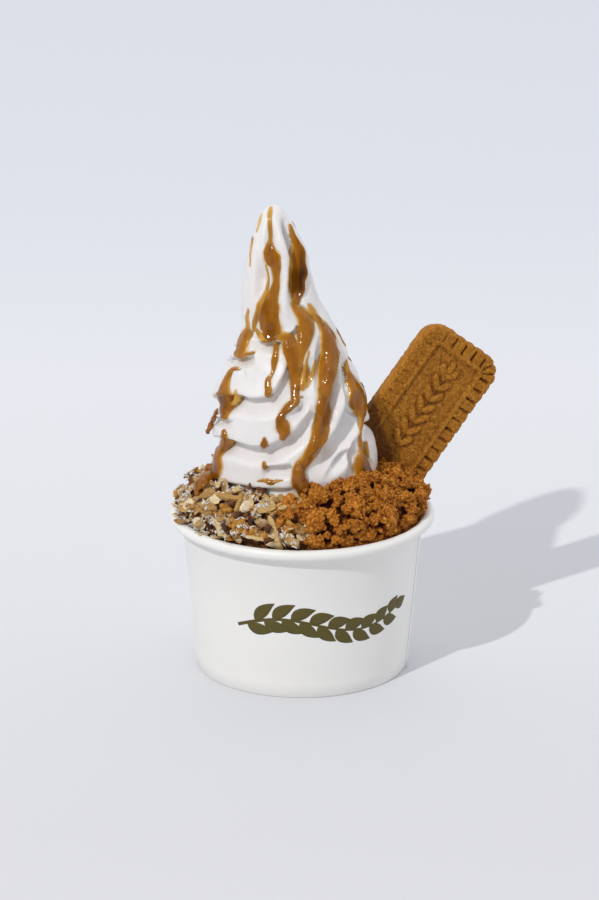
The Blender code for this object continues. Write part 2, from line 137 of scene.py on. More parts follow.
bpy.ops.object.light_add(type="POINT", location=LAMP_PLACE + Vector((cup_axis, 0.0, 0.0)))
lamp = bpy.context.object
lamp.data.energy = LAMP_STRENGTH
lamp.data.shadow_soft_size = LAMP_RADIUS
lamp.data.color = LAMP_COLOUR
lamp.data.use_nodes = True
even_lamp = lamp.data.node_tree.nodes.new("ShaderNodeLightFalloff")
even_lamp.inputs["Strength"].default_value = 1.0
lamp_shader = lamp.data.node_tree.nodes["Emission"]
lamp.data.node_tree.links.new(even_lamp.outputs["Constant"], lamp_shader.inputs["Strength"])

sky = bpy.data.worlds.new("sky")
sky.use_nodes = True
sky_nodes, sky_links = sky.node_tree.nodes, sky.node_tree.links
sky_nodes["Background"].inputs["Color"].default_value = SKY_COLOUR
toward = sky_nodes.new("ShaderNodeVectorMath")
toward.operation = "DOT_PRODUCT"
toward.inputs[1].default_value = SKY_BRIGHTEST
grade = sky_nodes.new("ShaderNodeMath")
grade.operation = "MULTIPLY_ADD"
grade.inputs[1].default_value = SKY_GRADE
grade.inputs[2].default_value = SKY_LEVEL
sky_links.new(sky_nodes.new("ShaderNodeTexCoord").outputs["Generated"], toward.inputs[0])
sky_links.new(toward.outputs["Value"], grade.inputs[0])
sky_links.new(grade.outputs[0], sky_nodes["Background"].inputs["Strength"])
bpy.context.scene.world = sky
bpy.context.scene.view_settings.view_transform = "Standard"


def new_finish(name, roughness, specular=0.5):
    """A new material: its nodes, its links, its shader, and a socket with the object's coordinates."""
    material = bpy.data.materials.new(name)
    material.use_nodes = True
    nodes = material.node_tree.nodes
    shader = nodes["Principled BSDF"]
    shader.inputs["Roughness"].default_value = roughness
    shader.inputs["Specular IOR Level"].default_value = specular
    place = nodes.new("ShaderNodeTexCoord").outputs["Object"]
    return material, nodes, material.node_tree.links, shader, place


def noise_on(nodes, links, place, size, detail=4.0, roughness=0.6):
    """A noise texture whose lumps are about the given size."""
    texture = nodes.new("ShaderNodeTexNoise")
    texture.inputs["Scale"].default_value = 1.0 / size
    texture.inputs["Detail"].default_value = detail
    texture.inputs["Roughness"].default_value = roughness
    links.new(place, texture.inputs["Vector"])
    return texture.outputs["Fac"]


def colours_by(nodes, links, value, stops):
    """A colour ramp over a value. Each stop is (position, colour)."""
    ramp = nodes.new("ShaderNodeValToRGB")
    while len(ramp.color_ramp.elements) < len(stops):
        ramp.color_ramp.elements.new(0.5)
    for element, (position, colour) in zip(ramp.color_ramp.elements, stops):
        element.position = position
        element.color = (*colour, 1.0)
    links.new(value, ramp.inputs["Fac"])
    return ramp.outputs["Color"]


def bump_from(nodes, links, height, distance, strength=1.0, under=None):
    """A bump of the given depth, laid over another bump if one is given."""
    bump = nodes.new("ShaderNodeBump")
    bump.inputs["Distance"].default_value = distance
    bump.inputs["Strength"].default_value = strength
    links.new(height, bump.inputs["Height"])
    if under:
        links.new(under, bump.inputs["Normal"])
    return bump.outputs["Normal"]


deselect_all()
bpy.ops.mesh.primitive_circle_add(
    vertices=96, radius=PAPER_RADIUS, fill_type="NGON", location=(cup_axis, 0.0, 0.0)
)
floor = bpy.context.object
floor.name = "paper_floor"
bpy.ops.object.transform_apply()
finish, nodes, links, shader, place = new_finish("pale_paper", 0.9, 0.1)
paper_place = nodes.new("ShaderNodeSeparateXYZ")
links.new(place, paper_place.inputs["Vector"])
# The paper's colour is the painted shade from front to back.
paper_share = nodes.new("ShaderNodeMapRange")
paper_share.inputs["From Min"].default_value = PAPER_FRONT
paper_share.inputs["From Max"].default_value = PAPER_BACK
links.new(paper_place.outputs["Y"], paper_share.inputs["Value"])
paper_shaded_colour = colours_by(nodes, links, paper_share.outputs["Result"], PAPER_PAINTED_SHADE)
links.new(paper_shaded_colour, shader.inputs["Base Color"])
floor.data.materials.append(finish)

# The paper cup is one blank of white coated card, rolled into a taper and lapped down its side. Its top
# edge is curled outwards into a bead, and its foot is folded in over the skirt of a set-up bottom disc.
CUP_SIDES = 192
CUP_FOOT_RADIUS = 36.5 * MM
CUP_TOP_RADIUS = 41.7 * MM
CUP_RIM_RADIUS = (cup_high.x - cup_low.x) / 2
BEAD_RADIUS = 1.9 * MM
CARD = 0.6 * MM
FOOT_FOLD = 1.3 * MM
BOTTOM_HEIGHT = 5.0 * MM
BEAD_STEPS = 16
LAP_ANGLES = (77.0, 88.0)
LAP_PROUD = 0.32 * MM
CARD_WHITE = (0.915, 0.905, 0.875)


def wall_radius(height):
    """The outside of the cup's wall at a height."""
    return CUP_FOOT_RADIUS + (CUP_TOP_RADIUS - CUP_FOOT_RADIUS) * height / cup_height


def raise_rings(name, profile, sides):
    """A turned piece: a circle at the first (radius, height), extruded through the rest."""
    deselect_all()
    radius, height = profile[0]
    bpy.ops.mesh.primitive_circle_add(
        vertices=sides, radius=radius, fill_type="NOTHING", location=(cup_axis, 0.0, height)
    )
    piece = bpy.context.object
    piece.name = name
    bpy.ops.object.transform_apply()
    bpy.ops.object.mode_set(mode="EDIT")
    bpy.ops.mesh.select_all(action="SELECT")
    for next_radius, next_height in profile[1:]:
        bpy.ops.mesh.extrude_region_move(TRANSFORM_OT_translate={"value": (0.0, 0.0, next_height - height)})
        grow = next_radius / radius
        bpy.ops.transform.resize(value=(grow, grow, 1.0), center_override=(cup_axis, 0.0, next_height))
        radius, height = next_radius, next_height
    bpy.ops.mesh.select_all(action="SELECT")
    bpy.ops.mesh.remove_doubles(threshold=0.01 * MM)
    bpy.ops.mesh.normals_make_consistent(inside=False)
    bpy.ops.object.mode_set(mode="OBJECT")
    return piece


bead_centre = (CUP_RIM_RADIUS - BEAD_RADIUS, cup_height - BEAD_RADIUS)
under_bead = bead_centre[1] - BEAD_RADIUS * 0.95
wall_profile = [
    (CUP_FOOT_RADIUS - FOOT_FOLD, 0.3 * MM),
    (CUP_FOOT_RADIUS - FOOT_FOLD + 0.3 * MM, 0.0),
    (CUP_FOOT_RADIUS - 0.35 * MM, 0.0),
    (CUP_FOOT_RADIUS, 0.4 * MM),
    (wall_radius(5.5 * MM), 5.5 * MM),
    (wall_radius(6.1 * MM) - 0.08 * MM, 6.1 * MM),
    (wall_radius(8.0 * MM), 8.0 * MM),
    (wall_radius(0.5 * under_bead), 0.5 * under_bead),
    (wall_radius(under_bead - 0.5 * MM), under_bead - 0.5 * MM),
    (wall_radius(under_bead) + 0.2 * MM, under_bead),
]
for step in range(BEAD_STEPS + 1):
    turn = math.radians(-105.0 + 235.0 * step / BEAD_STEPS)
    wall_profile.append(
        (bead_centre[0] + BEAD_RADIUS * math.cos(turn), bead_centre[1] + BEAD_RADIUS * math.sin(turn))
    )
wall_profile += [
    (wall_radius(bead_centre[1]) - CARD, bead_centre[1]),
    (wall_radius(BOTTOM_HEIGHT) - CARD, BOTTOM_HEIGHT),
    (CUP_FOOT_RADIUS - FOOT_FOLD, BOTTOM_HEIGHT),
    (CUP_FOOT_RADIUS - FOOT_FOLD, 0.3 * MM),
]
cup_wall = raise_rings("cup_wall", wall_profile, CUP_SIDES)
bpy.ops.object.shade_smooth_by_angle(angle=math.radians(50))

bottom_profile = [
    (0.05 * MM, BOTTOM_HEIGHT - CARD),
    (CUP_FOOT_RADIUS - FOOT_FOLD - 1.0 * MM, BOTTOM_HEIGHT - CARD),
    (CUP_FOOT_RADIUS - FOOT_FOLD - 0.1 * MM, BOTTOM_HEIGHT - CARD - 0.9 * MM),
    (CUP_FOOT_RADIUS - FOOT_FOLD - 0.1 * MM, BOTTOM_HEIGHT - 0.1 * MM),
    (CUP_FOOT_RADIUS - FOOT_FOLD - 1.0 * MM, BOTTOM_HEIGHT),
    (0.05 * MM, BOTTOM_HEIGHT),
    (0.05 * MM, BOTTOM_HEIGHT - CARD),
]
cup_bottom = raise_rings("cup_bottom", bottom_profile, CUP_SIDES)
bpy.ops.object.shade_smooth_by_angle(angle=math.radians(50))


def on_wall(across, height, proud):
    """A point on the wall, by its distance round from the front and its height."""
    turn = across / wall_radius(height)
    radius = wall_radius(height) + proud
    return Vector((cup_axis + radius * math.sin(turn), -radius * math.cos(turn), height))


deselect_all()
bpy.ops.mesh.primitive_grid_add(x_subdivisions=24, y_subdivisions=12, size=1.0)
cup_lap = bpy.context.object
cup_lap.name = "cup_side_lap"
for vert in cup_lap.data.vertices:
    turn = math.radians(LAP_ANGLES[0] + (LAP_ANGLES[1] - LAP_ANGLES[0]) * (vert.co.x + 0.5))
    height = 0.5 * MM + (under_bead - 1.0 * MM) * (vert.co.y + 0.5)
    fade = min(1.0, (0.5 - vert.co.x) * 3.0)
    vert.co = on_wall(turn * wall_radius(height), height, LAP_PROUD * fade - 0.02 * MM)
bpy.ops.object.transform_apply()
thicken = cup_lap.modifiers.new("card", "SOLIDIFY")
thicken.thickness = 0.5 * MM
thicken.offset = -1.0
bpy.ops.object.modifier_apply(modifier=thicken.name)
bpy.ops.object.shade_smooth_by_angle(angle=math.radians(40))

finish, nodes, links, shader, place = new_finish("coated_card", 0.42, 0.4)
shader.inputs["Coat Weight"].default_value = 0.15
shader.inputs["Coat Roughness"].default_value = 0.3
card_tone = noise_on(nodes, links, place, 9 * MM, 5.0)
card_colour = colours_by(
    nodes, links, card_tone, ((0.3, tuple(0.985 * c for c in CARD_WHITE)), (0.75, CARD_WHITE))
)
links.new(card_colour, shader.inputs["Base Color"])
fibres = noise_on(nodes, links, place, 0.35 * MM, 3.0)
waves = noise_on(nodes, links, place, 7 * MM, 2.0)
fibre_bump = bump_from(nodes, links, fibres, 0.02 * MM, 0.6)
links.new(bump_from(nodes, links, waves, 0.12 * MM, 0.5, fibre_bump), shader.inputs["Normal"])
for piece in (cup_wall, cup_bottom, cup_lap):
    piece.data.materials.append(finish)
    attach(piece, "root")
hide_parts("cup")

# The print on the cup's front is one colour of flat olive ink: a plain sprig, its stem curving up to the
# right with leaves in pairs along it. The ink is modelled as a skin a few hundredths of a millimetre thick.
SPRIG_START = -23.0 * MM
SPRIG_LENGTH = 60.0 * MM
SPRIG_HEIGHT = 25.5 * MM
SPRIG_BOW = 3.2 * MM
SPRIG_LEAVES = 9
LEAF_LENGTH = 10.5 * MM
LEAF_WIDTH = 4.4 * MM
LEAF_LEAN = math.radians(52.0)
LEAF_BEND = math.radians(22.0)
STEM_WIDTH = 1.0 * MM
INK = 0.05 * MM
INK_OLIVE = (0.098, 0.074, 0.004)


def stem_at(share):
    """The stem's centre as (across, height), and its heading, at a share of its length."""
    across = SPRIG_START + SPRIG_LENGTH * share
    height = SPRIG_HEIGHT + SPRIG_BOW * math.sin(2.0 * math.pi * share) + 2.5 * MM * share
    rise = SPRIG_BOW * 2.0 * math.pi * math.cos(2.0 * math.pi * share) + 2.5 * MM
    return across, height, math.atan2(rise, SPRIG_LENGTH)


def ink_patch(length_steps, centre_line, half_width):
    """A flat patch of ink round a centre line. Both arguments are functions of the share of its length."""
    deselect_all()
    bpy.ops.mesh.primitive_grid_add(x_subdivisions=length_steps, y_subdivisions=4, size=1.0)
    patch = bpy.context.object
    for vert in patch.data.vertices:
        share = vert.co.x + 0.5
        across, height, heading = centre_line(share)
        side = 2.0 * vert.co.y * half_width(share)
        across -= side * math.sin(heading)
        height += side * math.cos(heading)
        vert.co = on_wall(across, height, INK)
    return patch


def stem_half_width(share):
    """Half the stem's width at a share of its length: it thins towards its tip."""
    return STEM_WIDTH * (0.62 - 0.35 * share)


def leaf_half_width(share):
    """Half a leaf's width at a share of its length: widest a little before the middle."""
    return LEAF_WIDTH / 2 * math.sin(math.pi * share ** 0.8) + 0.02 * MM


ink = [ink_patch(60, stem_at, stem_half_width)]
for index in range(2 * SPRIG_LEAVES + 1):
    along = min(1.0, 0.06 + 0.94 * (index // 2 + 0.5 * (index % 2)) / SPRIG_LEAVES)
    side = 0.0 if index == 2 * SPRIG_LEAVES else (1.0 if index % 2 else -1.0)
    root_across, root_height, root_heading = stem_at(along)
    lean = root_heading + side * LEAF_LEAN
    length = LEAF_LENGTH * (1.0 - 0.35 * along)

    def leaf_line(share):
        """The leaf's middle, as the stem's is given."""
        bend = lean - side * LEAF_BEND * share
        reach = length * share
        return root_across + reach * math.cos(bend), root_height + reach * math.sin(bend), bend

    ink.append(ink_patch(14, leaf_line, leaf_half_width))
deselect_all()
for patch in ink:
    patch.select_set(True)
bpy.context.view_layer.objects.active = ink[0]
bpy.ops.object.join()
cup_print = bpy.context.object
cup_print.name = "cup_print"
bpy.ops.object.transform_apply()
thicken = cup_print.modifiers.new("ink", "SOLIDIFY")
thicken.thickness = 0.04 * MM
bpy.ops.object.modifier_apply(modifier=thicken.name)
bpy.ops.object.shade_smooth()
finish, nodes, links, shader, place = new_finish("olive_ink", 0.5)
ink_tone = noise_on(nodes, links, place, 1.2 * MM)
ink_colour = colours_by(nodes, links, ink_tone, ((0.3, tuple(0.93 * c for c in INK_OLIVE)), (0.7, INK_OLIVE)))
links.new(ink_colour, shader.inputs["Base Color"])
cup_print.data.materials.append(finish)
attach(cup_print, "root")

# The frozen yogurt is drawn from a machine through a star nozzle: a soft fluted rope, laid round in rising
# turns and pulled off into a leaning tongue. One turn hangs over the next in a lip, and flutes run between.
# Heights are above the table; angles run from the left (0) through the front (90) to the right (180).
SWIRL_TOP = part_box("yogurt")[1].z / MM
SWIRL_FOOT = 48.0
SWIRL_OUTLINE = (
    (48.0, -2.0, 27.6),
    (76.0, -2.2, 27.7),
    (84.0, -3.0, 27.0),
    (92.0, -4.5, 26.3),
    (100.0, -4.5, 24.8),
    (108.0, -4.5, 21.8),
    (116.0, -4.5, 18.0),
    (124.0, -5.4, 15.0),
    (131.0, -7.4, 13.2),
    (138.0, -8.2, 11.9),
    (148.0, -8.5, 9.8),
    (156.0, -9.0, 7.1),
    (161.0, -9.6, 4.3),
    (SWIRL_TOP, -9.8, 0.0),
)
SWIRL_SIDES = 384
SWIRL_RINGS = 250
LINE_SAMPLES = 16
STRETCH = 8
TURN_SLOPE = 0.085
LIP_ROUND = 1.5
# What the sauce leaves of the depth of a lip, a flute and a crease where it fills them.
LIP_LEFT = 0.3
FLUTE_LEFT = 0.9
CREASE_LEFT = 0.4
# Each wave of the yogurt's unevenness is its height, its size and a seed.
SWIRL_WAVES = ((0.30, 17.0, 3), (0.10, 5.5, 8))
TIP_HALF_WIDTH = 6.0
TIP_FADE = (152.0, SWIRL_TOP)
FOOT_FADE = (58.0, 64.0)
STAIN = (0.66, 0.42, 0.15, 1.0)
# Lines that the front view shows are given in pixels of it. A lip is how far it stands out above its line
# and over what reach, how far the turn below sinks in and over what reach, and how many degrees it goes on
# behind the left side, sloping down. A flute is its depth and reach, and so is a crease, which is sharp.
LIPS = (
    (1.1, 6.0, 4.2, 7.6, 20, ((206, 399), (220, 396), (238, 396), (250, 399), (262, 398.5), (270, 396),
                              (276, 390), (281, 382), (285, 374), (288, 364))),
    (1.0, 6.0, 4.0, 7.2, 20, ((208, 436), (218, 438), (229, 440), (240, 443.5), (255, 447), (266, 447),
                              (275, 443.5), (285, 438), (293, 433), (300, 427), (306, 419), (310, 410))),
    (0.6, 3.0, 3.4, 5.2, 0, ((262, 466.5), (268, 467), (280, 466.5), (288, 466), (291, 465))),
    (0.9, 5.0, 2.0, 5.0, 30, ((206, 478), (222, 482), (246, 486.5), (256, 488.5), (270, 489), (285, 489),
                              (297, 487))),
    (1.0, 3.5, 2.8, 4.6, 0, ((253, 330), (254.5, 336), (258, 341), (264, 342.5), (272, 342), (279, 342.5),
                             (284, 345))),
    (0.9, 3.0, 2.8, 4.0, 0, ((280, 332), (285, 334.5), (290, 334), (295, 330), (297, 325))),
    (0.9, 3.5, 3.2, 5.0, 10, ((226, 357), (232, 357.5), (240, 358), (247, 357), (254, 354.5))),
    (0.8, 3.5, 2.8, 4.0, 10, ((212, 416), (218, 418), (224, 419.5), (232, 420.5))),
)
FLUTE_DEEPER = 1.6
FLUTE_WIDER = 1.25
FLUTES = (
    (4.2, 3.4, ((283, 218), (290, 232), (296, 248), (299, 262), (298, 278), (297, 292), (296, 302))),
    (1.5, 2.2, ((270, 210), (270, 235), (270, 250), (275, 262), (277, 280), (274, 300))),
    (2.0, 2.2, ((262, 264), (261, 280), (259, 298))),
    (1.3, 2.0, ((311, 262), (309, 280), (306, 296))),
    (1.8, 2.0, ((313, 362), (310, 378), (307, 393))),
    (2.6, 2.5, ((306, 402), (300, 411), (290, 417))),
    (2.5, 3.2, ((284, 445), (294, 441), (303, 434), (308, 424), (311, 412))),
    (2.9, 2.9, ((343, 360), (340, 380), (336, 397), (331, 412), (327, 426), (320, 437))),
    (3.8, 4.6, ((354, 404), (351, 420), (345, 436), (336, 449), (325, 459), (312, 470))),
    (3.0, 2.4, ((350, 449), (345, 457), (338, 465), (329, 474))),
    (3.0, 2.4, ((356, 440), (354.5, 452), (354, 464), (352, 478))),
    (2.4, 2.4, ((322, 342), (321, 356), (320, 372), (319, 388))),
    (2.2, 2.0, ((364, 447), (367, 457), (371, 466))),
)
RIDGES = (
    (1.1, 3.0, ((277, 210), (278, 225), (282, 245), (285, 265), (285, 290), (285, 310), (287, 325))),
    (0.8, 2.5, ((257, 222), (256, 245), (254, 270), (251, 300))),
    (0.9, 3.0, ((346, 385), (344, 395), (341, 405), (336, 416), (331, 426), (326, 433), (320, 438))),
    (0.9, 3.0, ((358, 415), (358, 425), (356, 436), (351, 445), (343, 452), (335, 458), (322, 468))),
    (0.8, 2.5, ((290, 432), (300, 424), (308, 412), (312, 407))),
    (0.9, 2.0, ((303, 304), (310, 313), (320, 319), (328, 325), (334, 334))),
)
CREASES = (
    (1.6, 1.1, ((254, 230), (252, 245), (250, 260), (249, 272))),
    (1.0, 0.9, ((264, 216), (260, 223))),
    (1.2, 1.0, ((266, 264), (268, 278), (268.5, 290), (265, 299))),
    (2.2, 1.8, ((297, 301), (304, 309), (312, 317), (321, 322), (329, 330), (334, 340), (338, 352))),
    (4.2, 2.4, ((345, 356), (346.5, 370), (346.5, 385), (347, 400), (352, 410), (358, 417), (359, 428))),
    (4.0, 2.8, ((362, 419), (368, 424), (376, 429), (380, 431))),
    (2.0, 1.0, ((236, 369), (240, 369), (243, 373), (245, 376))),
    (1.8, 1.5, ((299, 396), (304, 399), (307, 404))),
)
# Behind, where the front view doesn't show, each line runs on by angle and height.
BACK_LIPS = (
    (0.9, 6.0, 3.6, 7.0, ((158, 86.5), (175, 88.0), (230, 89.5), (300, 91.0), (345, 92.0))),
    (0.9, 6.0, 3.4, 6.5, ((164, 71.0), (230, 73.5), (300, 76.0), (342, 77.5))),
    (0.8, 5.0, 2.8, 5.5, ((166, 110.5), (200, 111.0), (260, 111.5), (320, 112.5), (368, 114.5),
                          (395, 116.5))),
    (0.4, 3.0, 1.6, 3.2, ((175, 97.5), (230, 99.5), (290, 101.5), (350, 104.0), (372, 106.0))),
    (0.4, 3.0, 1.6, 3.0, ((178, 79.0), (230, 81.5), (300, 84.0), (352, 86.0))),
    (0.4, 3.0, 1.8, 3.2, ((176, 119.0), (220, 121.0), (280, 124.5), (330, 129.0), (368, 133.0))),
)
BACK_FLUTES = (
    (2.2, 3.6, ((196, 158), (206, 146), (210, 135), (206, 126), (196, 118))),
    (2.0, 3.8, ((238, 158), (246, 146), (250, 135), (248, 127))),
    (2.2, 3.8, ((284, 158), (290, 147), (294, 137), (292, 129))),
    (1.6, 3.2, ((322, 158), (328, 148), (332, 140), (334, 134))),
)


def smooth_between(low, high, value):
    """0 up to low, 1 from high, and a smooth curve between."""
    t = np.clip((value - low) / (high - low), 0.0, 1.0)
    return t * t * (3.0 - 2.0 * t)


def curve_through(value, at, heights):
    """A smooth curve through points that never swings past them: it is level at each high and low."""
    at = np.asarray(at, float)
    heights = np.asarray(heights, float)
    rises = np.diff(heights) / np.diff(at)
    before, after = rises[:-1], rises[1:]
    level = before * after <= 0.0
    middle = np.where(level, 0.0, 2.0 * before * after / np.where(level, 1.0, before + after))
    slopes = np.concatenate([rises[:1], middle, rises[-1:]])
    value = np.clip(value, at[0], at[-1])
    i = np.clip(np.searchsorted(at, value) - 1, 0, len(at) - 2)
    width = at[i + 1] - at[i]
    t = (value - at[i]) / width
    left = heights[i] * (1 + 2 * t) * (1 - t) ** 2 + slopes[i] * width * t * (1 - t) ** 2
    right = heights[i + 1] * t * t * (3 - 2 * t) + slopes[i + 1] * width * t * t * (t - 1)
    return left + right


def swirl_outline(height):
    """The swirl's centre and half width, in millimetres, at a height."""
    rows = np.array(SWIRL_OUTLINE[::-1])
    depth = np.sqrt(np.maximum(SWIRL_TOP - height, 0.0))
    row_depth = np.sqrt(SWIRL_TOP - rows[:, 0])
    return curve_through(depth, row_depth, rows[:, 1]), curve_through(depth, row_depth, rows[:, 2])


def on_swirl(angle, height, proud=0.0):
    """Points of the bare swirl as an array, in millimetres from the cup's axis."""
    centre, half = swirl_outline(height)
    radius = np.maximum(half + proud, 0.0)
    radians = np.radians(angle)
    return np.stack([centre - radius * np.cos(radians), -radius * np.sin(radians), height + 0.0 * angle], 1)


def drawn_through(points, steps=LINE_SAMPLES):
    """A smooth line of many samples through a few rows of numbers, as a column for each."""
    marks = np.arange(len(points))
    samples = np.linspace(0, len(points) - 1, steps * (len(points) - 1) + 1)
    return [curve_through(samples, marks, column) for column in np.array(points, float).T]


def nearest_seen(across, down):
    """Where the camera sees the bare swirl at pixels, or where it looks past it."""
    axis = Vector((cup_axis, 0.0, 0.0))
    near, far = (
        np.array([(seen_at(pixel, depth * MM) - axis) / MM for pixel in zip(across, down)])
        for depth in (-45.0, 45.0)
    )
    spots = near[:, None, :] + (far - near)[:, None, :] * np.linspace(0.0, 1.0, 700)[None, :, None]
    centre, half = swirl_outline(spots[..., 2].ravel())
    apart = np.hypot(spots[..., 0] - centre.reshape(spots.shape[:2]), spots[..., 1])
    apart -= half.reshape(spots.shape[:2])
    first = np.where((apart < 0.0).any(axis=1), (apart < 0.0).argmax(axis=1), apart.argmin(axis=1))
    return spots[np.arange(len(first)), first]


def seen_on_swirl(across, down):
    """The angles and heights of the points of the bare swirl that the camera sees at pixels."""
    spot = nearest_seen(across, down)
    centre = swirl_outline(spot[:, 2])[0]
    return np.degrees(np.arctan2(-spot[:, 1], centre - spot[:, 0])), spot[:, 2]


def seen_by_camera(points):
    """The pixels at which the camera sees points given in millimetres from the cup's axis."""
    apart = points * MM + cup_centre - np.array(eye)
    depth = -apart @ np.array(camera_back)
    across = VIEW_WIDTH / 2 + FOCAL_PIXELS * apart[:, 0] / depth
    down = VIEW_HEIGHT / 2 - FOCAL_PIXELS * (apart @ np.array(camera_up)) / depth
    return np.stack([across, down], 1)


def lumpy(points, size, seed):
    """An even, smooth unevenness between -1 and 1, as waves in a few directions."""
    rng = np.random.default_rng(seed)
    total = np.zeros(len(points))
    for _ in range(7):
        direction = rng.normal(size=points.shape[1])
        direction *= rng.uniform(0.6, 1.5) * 2.0 * math.pi / size / np.linalg.norm(direction)
        total += np.sin(points @ direction + rng.uniform(0, 2 * math.pi))
    return total / 4.0


def nearest_along(points, line, reach):
    """For each point: its distance to a line of samples, the nearest sample's number, and the way to it.
    Points farther away than the reach keep an endless distance."""
    gaps = np.full(len(points), np.inf)
    away = np.zeros(points.shape)
    number = np.zeros(len(points), int)
    for first in range(0, len(line) - 1, STRETCH):
        stretch = line[first:first + STRETCH + 1]
        low, high = stretch.min(axis=0) - reach, stretch.max(axis=0) + reach
        near = np.flatnonzero(((points > low) & (points < high)).all(axis=1))
        apart = points[near, None, :] - stretch[None, :, :]
        squares = (apart**2).sum(axis=2)
        nearest = squares.argmin(axis=1)
        rows = np.arange(len(near))
        gap = np.sqrt(squares[rows, nearest])
        closer = gap < gaps[near]
        rows, near, nearest = rows[closer], near[closer], nearest[closer]
        gaps[near] = gap[closer]
        away[near] = apart[rows, nearest]
        number[near] = first + nearest
    return gaps, number, away


def lip_relief(points, lip, angle, height):
    """How far a lip raises the points above its line, and sinks those below it."""
    rise, rise_reach, sink, sink_reach = lip
    line = on_swirl(angle, height)
    gaps, number, away = nearest_along(points, line, max(rise_reach, sink_reach))
    round_way = np.stack([np.sin(np.radians(angle)), -np.cos(np.radians(angle)), 0.0 * angle], 1)
    onward = np.gradient(line, axis=0)
    along = (onward * round_way).sum(axis=1)
    steep = np.hypot(along, onward[:, 2]) + 1e-9
    along, up = along / steep, onward[:, 2] / steep
    across = (away * round_way[number]).sum(axis=1)
    over = along[number] * away[:, 2] - up[number] * across
    end = np.minimum(number, len(line) - 1 - number) / (1.5 * LINE_SAMPLES)
    over_share = np.sqrt(1.0 - (1.0 - np.clip(over / LIP_ROUND + 0.15, 0.0, 1.0)) ** 2)
    high = rise * np.clip(1.0 - gaps / rise_reach, 0.0, 1.0) ** 1.5
    low = sink * (1.0 - smooth_between(0.28, 1.0, gaps / sink_reach))
    fade = np.clip(end, 0.0, 1.0) ** 0.5
    return fade * high * over_share, fade * low * (1.0 - over_share)


def flute_relief(points, depth, reach, angle, height, is_crease):
    """How far a flute, or a sharp crease, sinks the points along its line."""
    gaps, number, _ = nearest_along(points, on_swirl(angle, height), reach)
    closeness = np.clip(1.0 - gaps / reach, 0.0, 1.0)
    profile = closeness**2 if is_crease else smooth_between(0.0, 1.0, closeness)
    end = np.minimum(number, angle.size - 1 - number) / (1.2 * LINE_SAMPLES)
    return depth * profile * (0.25 + 0.75 * np.clip(end, 0.0, 1.0))


def swirl_relief(points):
    """The whole relief of the swirl, first sharp and then as the sauce fills it."""
    rise = np.zeros(len(points))
    sharp = np.zeros(len(points))
    soft = np.zeros(len(points))
    drawn = []
    for *lip, behind, route in LIPS:
        angle, height = seen_on_swirl(*drawn_through(route))
        back = np.arange(behind, 0.0, -1.0)
        before = height[0] - TURN_SLOPE * back
        drawn.append((lip, np.append(angle[0] - back, angle), np.append(before, height)))
    drawn += [(lip, *drawn_through(route)) for *lip, route in BACK_LIPS]
    for lip, angle, height in drawn:
        high, low = lip_relief(points, lip, angle, height)
        rise = np.maximum(rise, high)
        sharp = np.maximum(sharp, low)
        soft = np.maximum(soft, LIP_LEFT * low)
    for high, reach, route in RIDGES:
        angle, height = seen_on_swirl(*drawn_through(route))
        rise = np.maximum(rise, flute_relief(points, high, reach, angle, height, False))
    lines = [
        (deep * FLUTE_DEEPER, reach * FLUTE_WIDER, seen_on_swirl(*drawn_through(route)), False)
        for deep, reach, route in FLUTES
    ]
    lines += [(deep, reach, seen_on_swirl(*drawn_through(route)), True) for deep, reach, route in CREASES]
    lines += [(deep, reach, drawn_through(route), False) for deep, reach, route in BACK_FLUTES]
    for depth, reach, (angle, height), is_crease in lines:
        low = flute_relief(points, depth, reach, angle, height, is_crease)
        sharp = np.maximum(sharp, low)
        soft = np.maximum(soft, (CREASE_LEFT if is_crease else FLUTE_LEFT) * low)
    top_fade = 1.0 - 0.6 * smooth_between(*TIP_FADE, points[:, 2])
    foot_fade = smooth_between(*FOOT_FADE, points[:, 2])
    uneven = sum(high * lumpy(points, size, seed) for high, size, seed in SWIRL_WAVES)
    fade = top_fade * foot_fade
    return (rise - sharp) * fade + uneven, (rise - soft) * fade + uneven


def points_of(piece):
    """A piece's points as an array, one row for each, in metres."""
    flat = np.empty(len(piece.data.vertices) * 3)
    piece.data.vertices.foreach_get("co", flat)
    return flat.reshape(-1, 3)


def move_points(piece, points):
    """Puts a piece's points at new places."""
    piece.data.vertices.foreach_set("co", points.ravel())
    piece.data.update()


def keep_value(mesh, name, values):
    """Keeps a value for each point on the mesh, for its finish to read."""
    mesh.attributes.new(name, "FLOAT", "POINT").data.foreach_set("value", values)


def value_of(nodes, name):
    """The socket that reads a value kept on the mesh."""
    attribute = nodes.new("ShaderNodeAttribute")
    attribute.attribute_name = name
    return attribute.outputs["Fac"]


def closed_up(piece, merge=0.0, fill=False, triangles=False):
    """Merges points nearer than a distance, fills the open ends, and turns the faces outwards."""
    only(piece)
    bpy.ops.object.mode_set(mode="EDIT")
    if merge:
        bpy.ops.mesh.select_all(action="SELECT")
        bpy.ops.mesh.remove_doubles(threshold=merge)
    if fill:
        bpy.ops.mesh.select_all(action="DESELECT")
        bpy.ops.mesh.select_non_manifold()
        bpy.ops.mesh.edge_face_add()
    bpy.ops.mesh.select_all(action="SELECT")
    if triangles:
        bpy.ops.mesh.quads_convert_to_tris()
    bpy.ops.mesh.normals_make_consistent(inside=False)
    bpy.ops.object.mode_set(mode="OBJECT")


def wrapped_grid(name, sides, rings, place_vertices):
    """A grid whose columns go round and whose rows go up, put in place by a function of both shares."""
    deselect_all()
    bpy.ops.mesh.primitive_grid_add(x_subdivisions=sides, y_subdivisions=rings, size=1.0)
    piece = bpy.context.object
    piece.name = name
    flat = points_of(piece)
    move_points(piece, place_vertices(flat[:, 0] + 0.5, flat[:, 1] + 0.5) * MM + cup_centre)
    return piece


